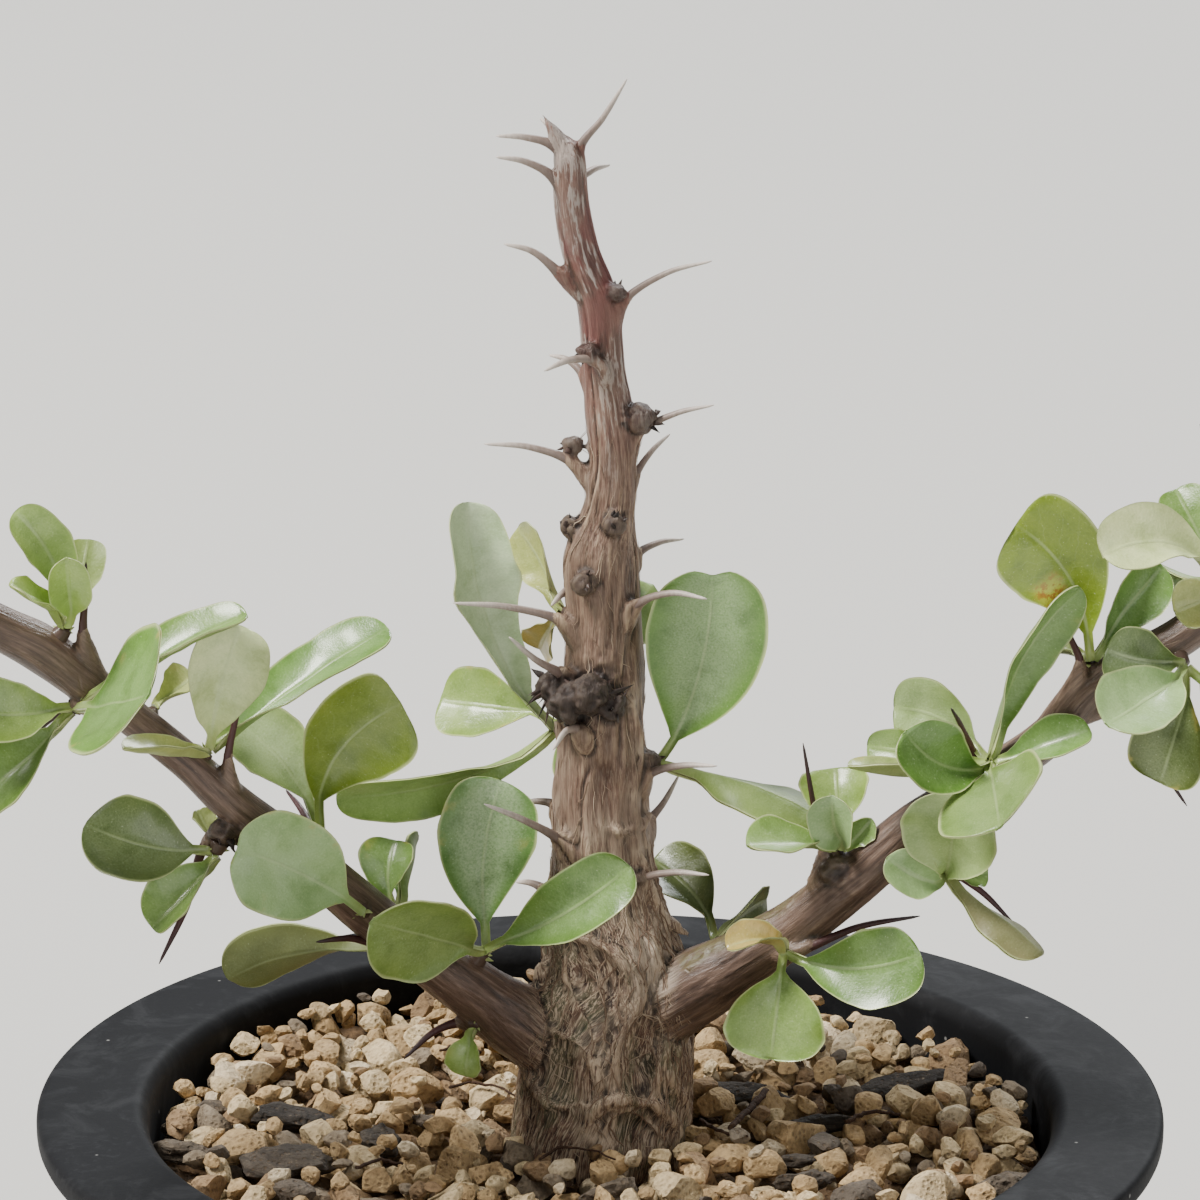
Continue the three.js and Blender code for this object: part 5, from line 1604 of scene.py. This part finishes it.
# Each bunch sits on a small cushion of scales, with a few pale young tips
def budShapes(bud, random):
    at, y, size = bud
    centre = sight(at, y)
    found = stemTree.find_nearest(Vector(centre))
    normal = unit(centre - np.array(found[0])) if found[3] > 0.3 else np.array(found[1])
    base = np.array(found[0]) - 0.5 * normal
    made = []
    facts = {"leafPlace": (0.0, 0.0, 5.0), "rim": 0.5, "share": 0.1, "under": 0.0}
    facts = {**facts, "spot": 0.0, "wear": 0.5, "bloom": 0.0}
    shares = np.linspace(0, 1, 6)
    stub = [base + (centre - base) * s for s in shares]
    wide = size * np.interp(shares, [0, 0.5, 1], [0.62, 0.5, 0.4])
    made.append(tube(stub, wide, 10, tone=(0.1, 0.06, 0.04), bud=1.0, **facts))
    for k in range(16):
        direction = unit(normal * 0.7 + random.normal(size=3) * 0.7)
        young = k > 11
        length = size * (random.uniform(0.5, 0.95) if young else random.uniform(0.3, 0.5))
        across = unit(np.cross(direction, random.normal(size=3)))
        foot = centre - 0.3 * size * normal
        line = [foot + direction * length * s + across * 0.2 * length * s * s for s in shares]
        radii = size * (0.16 if young else 0.22) * np.array([0.8, 1, 0.95, 0.75, 0.45, 0.08])
        tone = leafTones["lemon"] if young else leafMarks["budBrown"]
        made.append(tube(line, radii, 7, 0.6, tone=tone, bud=0.0 if young else 1.0, **facts))
    return made


# Leaf skin: midrib, side veins and a fine net, a pale painted sheen, paler rims that are partly a
# painted highlight and a dull olive back
def leafMaterial():
    material, on = newMaterial("leaf_skin")
    place = on.field("leafPlace", "Vector")
    rim, share, under = on.field("rim"), on.field("share"), on.field("under")
    tone = on.field("tone", "Color")
    wear, bud, spot = on.field("wear"), on.field("bud"), on.field("spot")
    bloom = on.field("bloom")
    parts = on.node("SeparateXYZ", {0: place})
    x, y = parts.outputs[0], parts.outputs[1]
    wander = on.noise(place, 0.55, 3, 0.6)
    away = on.math("ABSOLUTE", x)
    climb = on.scaled(away, -0.85, y)
    climb = on.scaled(wander, 2.4, climb)
    phase = on.math("FRACT", on.math("DIVIDE", climb, leafLook["veinGap"]))
    fromLine = on.math("ABSOLUTE", on.less(phase, 0.5))
    side = on.ranged(fromLine, 0.0, 0.05, 1.0, 0.0)
    side = on.times(side, on.ranged(rim, 0.55, 0.98, 1.0, 0.15))
    midrib = on.ranged(away, 0.04, 0.27, 1.0, 0.0)
    midrib = on.times(midrib, on.ranged(share, 0.75, 1.0, 1.0, 0.2))
    net = on.ranged(on.cells(place, 1.25, "DISTANCE_TO_EDGE")["Distance"], 0.0, 0.1, 1.0, 0.0)
    blotch = on.noise(place, 0.33, 4, 0.6)
    speck, _ = on.mottled(place, 4.5, 2, 0.5)
    base = on.tinted(
        tone,
        on.ramp(blotch, [(0.3, (0.72, 0.76, 0.66)), (0.5, (1, 1, 1)), (0.72, (1.2, 1.14, 1.24))]),
    )
    base = on.tinted(base, on.ramp(speck, [(0.3, (0.9, 0.92, 0.88)), (0.7, (1.08, 1.06, 1.08))]))
    # A pale painted sheen over the middle of the blade, as strong as each leaf's bloom value
    sheenPaint = on.times(on.ranged(rim, 0.35, 0.95, 1.0, 0.1), on.ranged(blotch, 0.2, 0.52, 0.45, 1.0))
    sheenPaint = on.times(on.times(sheenPaint, on.ranged(speck, 0.3, 0.62, 0.55, 1.0)), bloom)
    base = on.over(base, sheenPaint, 0.62, leafMarks["sheenPaint"])
    paleVein = on.mix(0.5, base, leafMarks["vein"])
    base = on.over(base, midrib, 0.6, paleVein)
    base = on.over(base, side, 0.15, paleVein)
    base = on.over(base, net, 0.05, paleVein)
    dots = on.times(on.ranged(speck, 0.66, 0.74), on.ranged(wander, 0.35, 0.6))
    base = on.over(base, dots, 0.35, leafMarks["dot"])
    base = on.mix(on.ranged(share, 0.02, 0.2, 0.55, 0.0), base, leafMarks["stalk"])
    # The rim band is the leaf's paler margin and also a painted highlight along the edge
    base = on.mix(on.ranged(rim, 0.92, 1.0, 0.0, 0.8), base, leafMarks["rim"])
    oldEdge = on.times(on.ranged(blotch, 0.56, 0.7), on.ranged(wear, 0.6, 0.9))
    oldEdge = on.times(oldEdge, on.ranged(rim, 0.5, 0.95))
    base = on.over(base, oldEdge, 0.6, leafMarks["wornEdge"])
    fromSpot = on.math("ABSOLUTE", on.math("ADD", x, 2.6))
    alongSpot = on.math("ABSOLUTE", on.less(share, 0.5))
    region = on.times(
        on.ranged(fromSpot, 0.8, 2.4, 1.0, 0.0), on.ranged(alongSpot, 0.04, 0.16, 1.0, 0.0)
    )
    region = on.times(region, spot)
    base = on.over(base, region, 0.7, leafMarks["stainRing"])
    stain = on.times(on.ranged(on.noise(place, 1.1, 4, 0.7), 0.46, 0.56), region)
    base = on.over(base, stain, 0.85, leafMarks["stain"])
    back = on.mix(0.35, base, leafMarks["back"])
    base = on.mix(under, base, back)
    budTone = on.mix(speck, tone, leafMarks["budDark"])
    base = on.mix(bud, base, budTone)
    on.skin(tone=base)
    rough = on.scaled(blotch, 0.22, leafLook["gloss"] - 0.1)
    rough = on.scaled(under, 0.14, rough)
    rough = on.scaled(bud, 0.3, rough)
    on.skin(
        roughness=rough,
        shine=leafLook["shine"],
        coat=on.times(on.less(1.0, under), leafLook["coat"]),
        coatRoughness=leafLook["coatRoughness"],
    )
    height = on.scaled(midrib, -0.6, on.times(speck, 0.3))
    height = on.scaled(blotch, 1.6, height)
    on.skin(normal=on.raised(height, leafLook["relief"], 0.7))
    return material


print("leaves")
leafSkin = leafMaterial()
leafRandom = np.random.default_rng(leafLook["seed"])
for node, (at, y, size, leaves) in bunches.items():
    bud = (at, y, size)
    made = [leafShape(one, bud, leafRandom) for one in leaves]
    made += budShapes(bud, leafRandom)
    name = node.replace("leaf", "blade").replace("leaves", "blades")
    makePiece(name, gathered(made), leafSkin, [node])


# Grit: rounded broken grains heaped on each other, a few charred chips of bark, dark fines between
grit = {
    "seed": 4,
    "top": 77.0,
    "wall": 52.3,
    "count": 950,
    "fineSize": 2.1,
    "highest": 80.3,
    "tones": [
        (0.40, colour(182, 156, 118)),
        (0.24, colour(202, 182, 146)),
        (0.14, colour(146, 122, 94)),
        (0.09, colour(208, 192, 164)),
        (0.08, colour(132, 120, 104)),
        (0.04, colour(92, 84, 76)),
    ],
    "charred": colour(58, 53, 49),
    "weathered": colour(128, 116, 102),
    "pit": colour(96, 76, 54),
    "dust": colour(158, 142, 122),
    "soot": colour(30, 27, 25),
    "twig": colour(70, 50, 38),
    "sizes": [1.1, 1.7, 2.4, 3.2, 4.1],
    "shares": [0.16, 0.26, 0.28, 0.19, 0.11],
    "relief": 0.0005,
    "bedEdge": 51.9,
    "bedSides": 180,
    "bedCrumb": 0.9,
    "twigSeed": 6,
}

# Chips: place in the front view, depth, length, width, thickness, turn in degrees, how dark
chips = [
    ((287, 1084), 2, 11.5, 7.0, 3.0, 12, 1.0),
    ((282, 1134), -12, 12.5, 6.5, 4.0, -14, 0.75),
    ((382, 1102), -4, 5.2, 6.8, 3.6, 10, 0.8),
    ((432, 1094), 2, 5.4, 3.0, 2.2, 0, 0.6),
    ((207, 1069), 6, 5.0, 4.0, 2.4, 30, 0.55),
    ((185, 1110), -8, 3.4, 8.0, 2.6, 70, 0.5),
    ((903, 1060), 14, 11.5, 6.4, 3.0, 20, 1.0),
    ((747, 1078), 12, 11.0, 6.0, 3.0, -15, 1.0),
    ((820, 1108), 2, 8.8, 3.4, 2.4, 10, 0.9),
    ((793, 1136), -10, 6.6, 2.4, 1.8, 8, 0.8),
    ((798, 1155), -16, 8.0, 3.2, 2.4, 20, 0.8),
    ((1008, 1160), -18, 7.0, 5.6, 4.4, 10, 0.45),
    ((610, 1172), -22, 6.4, 6.0, 4.6, 40, 0.4),
]


def brokenStones(number, level, random, cuts, roundness=0.9):
    points, faces = ballOf(level)
    body = np.repeat(points[None], number, axis=0)
    for _ in range(cuts):
        facing = random.normal(size=(number, 1, 3))
        facing /= np.linalg.norm(facing, axis=-1, keepdims=True)
        depth = random.uniform(0.5, 0.86, (number, 1))
        over = np.maximum(0, np.sum(body * facing, axis=-1) - depth)
        body = body - roundness * over[..., None] * facing
    shift = random.uniform(0, 50, (number, 1, 3))
    rough = layeredNoise(points[None] * 1.6 + shift, 3, 3)
    body = body * (1 + 0.075 * rough[..., None])
    return body, faces


def turnedBy(body, random, tilt=1.0):
    yaw = random.uniform(0, 2 * math.pi, len(body))
    pitch = random.normal(0, 0.35 * tilt, len(body))
    rolled = random.normal(0, 0.35 * tilt, len(body))
    turned = body.copy()
    for first, second, angle in ((1, 2, pitch), (0, 2, rolled), (0, 1, yaw)):
        a, b = turned[..., first].copy(), turned[..., second].copy()
        cosine, sine = np.cos(angle)[:, None], np.sin(angle)[:, None]
        turned[..., first] = cosine * a - sine * b
        turned[..., second] = sine * a + cosine * b
    return turned


# Drops each grain on to the ones under it; a grain that would stand too high is left out
def heaped(random):
    chipSpots = [(sight(at, y), 0.42 * max(long, wide)) for at, y, long, wide, *_ in chips]
    places, sizes = [], []
    centre, radius = trunkCentre(grit["top"])
    for k in range(grit["count"] * 3):
        if len(places) == grit["count"]:
            break
        size = random.choice(grit["sizes"], p=grit["shares"]) * random.uniform(0.85, 1.15)
        reach = (grit["wall"] - 0.75 * size) * math.sqrt(random.random())
        angle = random.uniform(0, 2 * math.pi)
        spot = np.array([reach * math.cos(angle), reach * math.sin(angle)])
        if np.linalg.norm(spot - centre[:2]) < radius + 0.35 * size:
            continue
        if any(np.linalg.norm(spot - c[:2]) < r + 0.2 * size for c, r in chipSpots):
            continue
        height = grit["top"] - 2.4 + 0.4 * size + 1.0 * (reach / grit["wall"]) ** 4
        if places:
            known = np.array(places)
            reachOut = 0.78 * (np.array(sizes) + size)
            gap = np.linalg.norm(known[:, :2] - spot, axis=1)
            close = gap < reachOut
            if close.any():
                rest = known[close, 2] + 0.72 * np.sqrt(reachOut[close] ** 2 - gap[close] ** 2)
                height = max(height, float(rest.max()))
        if height + 0.62 * size > grit["highest"]:
            continue
        places.append([spot[0], spot[1], height])
        sizes.append(size)
    return np.array(places), np.array(sizes)


def gritShapes():
    random = np.random.default_rng(grit["seed"])
    places, sizes = heaped(random)
    number = len(places)
    made = []
    for level, chosen in ((2, sizes <= grit["fineSize"]), (3, sizes > grit["fineSize"])):
        count = int(chosen.sum())
        body, faces = brokenStones(count, level, random, 12, 1.0)
        ranges = ((0.95, 1.3), (0.78, 1.0), (0.62, 0.85))
        squash = [random.uniform(low, high, count) for low, high in ranges]
        body = turnedBy(body * np.stack(squash, -1)[:, None], random)
        body = body * sizes[chosen][:, None, None] + places[chosen][:, None]
        out = np.linalg.norm(body[..., :2], axis=-1)
        over = np.maximum(0, out - grit["wall"])
        body[..., :2] *= (1 - over / np.maximum(out, 1e-6))[..., None]
        made.append((np.nonzero(chosen)[0], body, faces))
    shares = np.array([s for s, _ in grit["tones"]])
    kinds = random.choice(len(shares), number, p=shares / shares.sum())
    tones = np.array([grit["tones"][k][1] for k in kinds]) * random.uniform(0.82, 1.15, (number, 1))
    sector = ((np.degrees(np.arctan2(places[:, 1], places[:, 0])) + 225) % 360 // 90).astype(int)
    groups = {}
    for indices, bodies, faces in made:
        for k, body in zip(indices, bodies):
            one = shape(body, [faces], tone=tones[k])
            groups.setdefault(("front", "right", "back", "left")[sector[k]], []).append(one)
    print("grains", number)
    return {name: gathered(made) for name, made in groups.items()}


def chipShapes():
    random = np.random.default_rng(grit["seed"] + 1)
    made = []
    for at, y, long, wide, thick, turn, dark in chips:
        body, faces = brokenStones(1, 4, random, 12, 0.8)
        body = body[0] * np.array([long, wide, thick]) * 0.56
        layers = noiseAt(body * np.array([0.25, 0.25, 2.2]) + random.uniform(0, 40), 2)
        crumbs = layeredNoise(body * 0.9 + random.uniform(0, 40), 3, 6)
        outward = body / np.maximum(1e-6, np.linalg.norm(body, axis=1, keepdims=True))
        body = body + outward * (0.42 * layers + 0.3 * crumbs)[:, None]
        angle = math.radians(turn)
        tip = random.uniform(-0.18, 0.18)
        spin = Matrix.Rotation(angle, 3, "Z") @ Matrix.Rotation(tip, 3, "Y")
        body = body @ np.array(spin).T
        centre = sight(at, y)
        centre[2] = grit["top"] + 0.3 + 0.1 * thick
        body = body + centre
        tone = np.array(grit["charred"]) * dark + np.array(grit["weathered"]) * (1 - dark)
        made.append(shape(body, [faces], tone=tone, char=dark))
    return gathered(made)


# Grit skin: plain for the grains, with charred layers for the bark chips
def gritMaterial(name, layered):
    material, on = newMaterial(name)
    tone = on.field("tone", "Color")
    place = on.place()
    grain, _ = on.mottled(place, 1500.0, 5, 0.68)
    broad = on.noise(place, 330.0, 3, 0.55)
    pit = on.ranged(on.cells(place, 1300.0)["Distance"], 0.14, 0.46)
    base = on.tinted(
        tone,
        on.ramp(grain, [(0.3, (0.62, 0.58, 0.52)), (0.5, (1, 1, 1)), (0.7, (1.25, 1.24, 1.2))]),
    )
    base = on.tinted(base, on.ramp(broad, [(0.32, (0.78, 0.74, 0.68)), (0.66, (1.14, 1.14, 1.12))]))
    base = on.over(base, on.ranged(pit, 0.5, 0.0), 0.4, grit["pit"])
    height = on.scaled(pit, 0.5, grain)
    if layered:
        char = on.field("char")
        layer = on.noise(on.stretched(place, (240, 240, 2200)), 1.0, 4, 0.6)
        dust = on.times(on.ranged(grain, 0.6, 0.72), char)
        base = on.over(base, dust, 0.6, grit["dust"])
        dark = on.times(on.ranged(layer, 0.55, 0.4), char)
        base = on.over(base, dark, 0.7, grit["soot"])
        height = on.scaled(on.times(layer, char), 1.2, height)
    on.skin(
        tone=base,
        roughness=on.ranged(grain, 0.2, 0.8, 0.78, 1.0),
        shine=0.3,
        normal=on.raised(height, grit["relief"], 0.85),
    )
    return material


# The filling under the grains: a plug with an uneven dark top
def soilBed():
    inner = pot["baseRadius"] - pot["wallThickness"] - 3.3
    low, high, edge = pot["floorThickness"] + 0.4, grit["top"], grit["bedEdge"]
    profile = [(0.01, low), (inner, low), (inner + 2.8, low + 3.4), (edge - 0.7, high - 6)]
    profile += [(edge, high - 2.4)] + [(r, high - 2.6) for r in np.linspace(50, 0.01, 60)]
    sides = grit["bedSides"]
    points = turnedProfile(np.array(profile), sides)
    top = smooth(high - 4, high - 2.6, points[..., 2])
    points[..., 2] += grit["bedCrumb"] * layeredNoise(points * 0.55, 4, 8) * top
    faces = gridFaces(len(profile), sides, True)
    return shape(points.reshape(-1, 3), [faces], tone=np.array(grit["pit"]), char=0.3)


# Loose twigs and root threads on the grains: places in the front view, height, half width
twigs = [
    ([(450, 1088), (470, 1083), (495, 1086), (520, 1098)], 80.0, 0.2),
    ([(766, 1092), (750, 1108), (730, 1128)], 79.8, 0.5),
    ([(700, 1120), (722, 1132), (748, 1136)], 79.4, 0.25),
    ([(540, 1160), (560, 1148), (590, 1150), (616, 1160)], 79.6, 0.18),
    ([(846, 1122), (870, 1112), (900, 1114)], 79.6, 0.3),
    ([(356, 1168), (380, 1160), (404, 1164)], 79.6, 0.22),
    ([(480, 1052), (462, 1046), (440, 1050)], 79.8, 0.25),
]


# The place at a height that is seen at a place of the front view
def atHeight(at, z):
    near, far = sight(at, -100), sight(at, 100)
    return near + (far - near) * (z - near[2]) / (far[2] - near[2])


def twigShapes():
    random = np.random.default_rng(grit["twigSeed"])
    made = []
    for places, z, thick in twigs:
        points = [atHeight(at, z + random.uniform(-0.2, 0.3)) for at in places]
        line = [curveAt(points, s) + random.normal(0, 0.06, 3) for s in np.linspace(0, 1, 14)]
        radii = thick * (1 - 0.35 * np.linspace(0, 1, 14)) * random.uniform(0.85, 1.15, 14)
        made.append(tube(line, radii, 7, tone=grit["twig"], char=0.4))
    return gathered(made)


print("grit")
gritSkin = gritMaterial("grit_stone", False)
chipSkin = gritMaterial("charred_chip", True)
makePiece("soil_bed", soilBed(), chipSkin, ["soil"])
piece = makePiece("bark_chips", chipShapes(), chipSkin, ["soil"])
piece.data.set_sharp_from_angle(angle=math.radians(34))
makePiece("loose_twigs", twigShapes(), chipSkin, ["soil"])
for name, whole in gritShapes().items():
    piece = makePiece("grit_" + name, whole, gritSkin, ["soil"])
    piece.data.set_sharp_from_angle(angle=math.radians(30))


# Pot: one turned body with a wide brim, and drain holes bored through its floor
def potShape():
    high, rim, mouth = pot["height"], pot["rimRadius"], pot["mouthRadius"]
    under = high - pot["brimThickness"]
    wall = pot["wallThickness"]
    base, floor = pot["baseRadius"], pot["floorThickness"]
    inner = base - wall
    corners = [
        (0.01, 0.25, 0.2),
        (base - 4, 0.25, 0.3),
        (base - 3.4, 0, 0.2),
        (base, 0, 1.2),
        (mouth + wall - 1, under - 8, 3),
        (mouth + wall + 0.5, under - 2.5, 1.5),
        (mouth + wall + 3, under, 1.5),
        (rim, under, 1.2),
        (rim, high, 1.0),
        (rim - 5, high, 0.5),
        (mouth + 1.1, high, 0.9),
        (mouth, high - 1.6, 0.8),
        (mouth - 0.3, high - 10, 1),
        (inner, floor + 3, 2),
        (inner - 3, floor, 1.5),
        (0.01, floor, 0.2),
    ]
    line = []
    for i, (r, z, bend) in enumerate(corners):
        here = np.array([r, z])
        if i in (0, len(corners) - 1):
            line.append(here)
            continue
        before, after = (np.array(corners[k][:2]) for k in (i - 1, i + 1))
        near = min(bend, 0.45 * np.linalg.norm(before - here), 0.45 * np.linalg.norm(after - here))
        first = here + near * unit(before - here)
        second = here + near * unit(after - here)
        for t in np.linspace(0, 1, 6):
            line.append((1 - t) ** 2 * first + 2 * t * (1 - t) * here + t * t * second)
    rows = np.array(line)
    count = pot["sides"]
    points = turnedProfile(rows, count)
    last = (len(rows) - 1) * count
    j = np.arange(count)
    middle = len(rows) * count
    ends = np.array([[0, 0, rows[0, 1]], [0, 0, rows[-1, 1]]])
    low = np.stack([np.full(count, middle), (j + 1) % count, j], -1)
    high = np.stack([np.full(count, middle + 1), last + j, last + (j + 1) % count], -1)
    whole = np.concatenate([points.reshape(-1, 3), ends])
    return shape(whole, [gridFaces(len(rows), count, True), np.concatenate([low, high])])


potLook = {
    "black": colour(11, 12, 14),
    "grey": colour(20, 21, 25),
    "cloud": colour(112, 114, 118),
    "film": colour(120, 122, 126),
    "marks": colour(190, 190, 186),
    "markStrength": 0.4,
    "relief": 0.00006,
    "roughness": 0.62,
}


def potMaterial():
    material, on = newMaterial("pot_black")
    place = on.place()
    broad = on.noise(place, 38.0, 4, 0.6, 0.6)
    fine = on.noise(place, 900.0, 4, 0.6)
    grain, _ = on.mottled(place, 3200.0, 3, 0.6)
    base = on.mix(broad, potLook["black"], potLook["grey"])
    film = on.times(on.ranged(fine, 0.5, 0.75), on.ranged(broad, 0.4, 0.7))
    cloud = on.ranged(on.noise(place, 120.0, 5, 0.7, 0.8), 0.46, 0.7)
    base = on.over(base, cloud, 0.07, potLook["cloud"])
    base = on.over(base, film, 0.07, potLook["film"])
    specks = on.cells(place, 420.0)
    chance = on.node("SeparateColor", {0: specks["Color"]}).outputs[0]
    speck = on.times(
        on.ranged(specks["Distance"], 0.05, 0.13, 1, 0), on.ranged(chance, 0.92, 0.94)
    )
    lines = on.cells(on.stretched(place, (900, 110, 300)), 1.0)
    chance = on.node("SeparateColor", {0: lines["Color"]}).outputs[1]
    scratch = on.times(
        on.ranged(lines["Distance"], 0.03, 0.09, 1, 0), on.ranged(chance, 0.95, 0.97)
    )
    marks = on.larger(speck, scratch)
    base = on.over(base, marks, potLook["markStrength"], potLook["marks"])
    rough = on.scaled(broad, 0.2, potLook["roughness"] - 0.06)
    on.skin(
        tone=base,
        roughness=on.scaled(fine, 0.12, rough),
        shine=0.2,
        normal=on.raised(on.scaled(grain, 0.3, fine), potLook["relief"], 0.45),
    )
    return material


def boredPot():
    piece = makePiece("pot_body", potShape(), potMaterial(), ["pot"])
    drills = []
    for k in range(pot["holeCount"]):
        angle = 2 * math.pi * (k + 0.5) / pot["holeCount"]
        at = pot["holeRing"] * np.array([math.cos(angle), math.sin(angle), 0])
        line = [at + np.array([0, 0, z]) for z in (-5.0, 12.0)]
        drills.append(tube(line, [pot["holeRadius"]] * 2, 40))
    drill = gathered(drills)
    mesh = bpy.data.meshes.new("drill")
    faces = [tuple(f) for group in drill["faces"] for f in group.tolist()]
    mesh.from_pydata((drill["points"] * metre).tolist(), [], faces)
    cutter = bpy.data.objects.new("drill", mesh)
    bpy.context.scene.collection.objects.link(cutter)
    cut = piece.modifiers.new("bore", "BOOLEAN")
    cut.operation, cut.object, cut.solver = "DIFFERENCE", cutter, "EXACT"
    done = bpy.data.meshes.new_from_object(
        piece.evaluated_get(bpy.context.evaluated_depsgraph_get())
    )
    piece.modifiers.clear()
    piece.data = done
    done.shade_smooth()
    bpy.data.objects.remove(cutter)
    bpy.data.meshes.remove(mesh)


print("pot")
boredPot()


# Floor, lights and camera
stage = {
    "floor": colour(205, 204, 200),
    "key": 340.0,
    "back": 110.0,
    "fill": 42.0,
    "sky": 0.16,
}


def lightAt(name, place, target, size, watts, tint):
    data = bpy.data.lights.new(name, "AREA")
    data.energy, data.size, data.color = watts, size, tint
    lamp = bpy.data.objects.new(name, data)
    lamp.location = place
    lamp.rotation_euler = (Vector(target) - Vector(place)).to_track_quat("-Z", "Y").to_euler()
    bpy.context.scene.collection.objects.link(lamp)


def setStage():
    mesh = bpy.data.meshes.new("floor")
    half = 6.0
    corners = [(-half, -half, 0), (half, -half, 0), (half, half, 0), (-half, half, 0)]
    mesh.from_pydata(corners, [], [(0, 1, 2, 3)])
    floor = bpy.data.objects.new("floor", mesh)
    bpy.context.scene.collection.objects.link(floor)
    material, on = newMaterial("floor_paper")
    on.skin(tone=stage["floor"], roughness=0.9)
    mesh.materials.append(material)
    world = bpy.data.worlds.new("studio")
    bpy.context.scene.world = world
    world.use_nodes = True
    world.node_tree.nodes["Background"].inputs[0].default_value = (0.92, 0.95, 1.0, 1)
    world.node_tree.nodes["Background"].inputs[1].default_value = stage["sky"]
    middle = (0, 0, 0.12)
    lightAt("key_light", (-2.2, -0.5, 3.3), middle, 1.2, stage["key"], (1.0, 0.97, 0.93))
    lightAt("back_light", (1.2, 3.0, 2.4), middle, 1.4, stage["back"], (0.95, 0.98, 1.0))
    lightAt("fill_light", (1.6, -3.2, 1.6), middle, 2.5, stage["fill"], (1.0, 0.98, 0.96))


def setCamera():
    data = bpy.data.cameras.new("front_camera")
    data.sensor_width = 36.0
    data.lens = 36.0 * frontView["scale"] / (2 * frontView["centre"])
    data.clip_start, data.clip_end = 0.01, 20
    camera = bpy.data.objects.new("front_camera", data)
    bpy.context.scene.collection.objects.link(camera)
    tilt = Matrix.Rotation(math.pi / 2 - frontView["pitch"], 4, "X")
    spin = Matrix.Rotation(frontView["roll"], 4, "Z")
    camera.matrix_world = Matrix.Translation(Vector(eye * metre)) @ tilt @ spin
    bpy.context.scene.camera = camera


print("stage")
setStage()
setCamera()
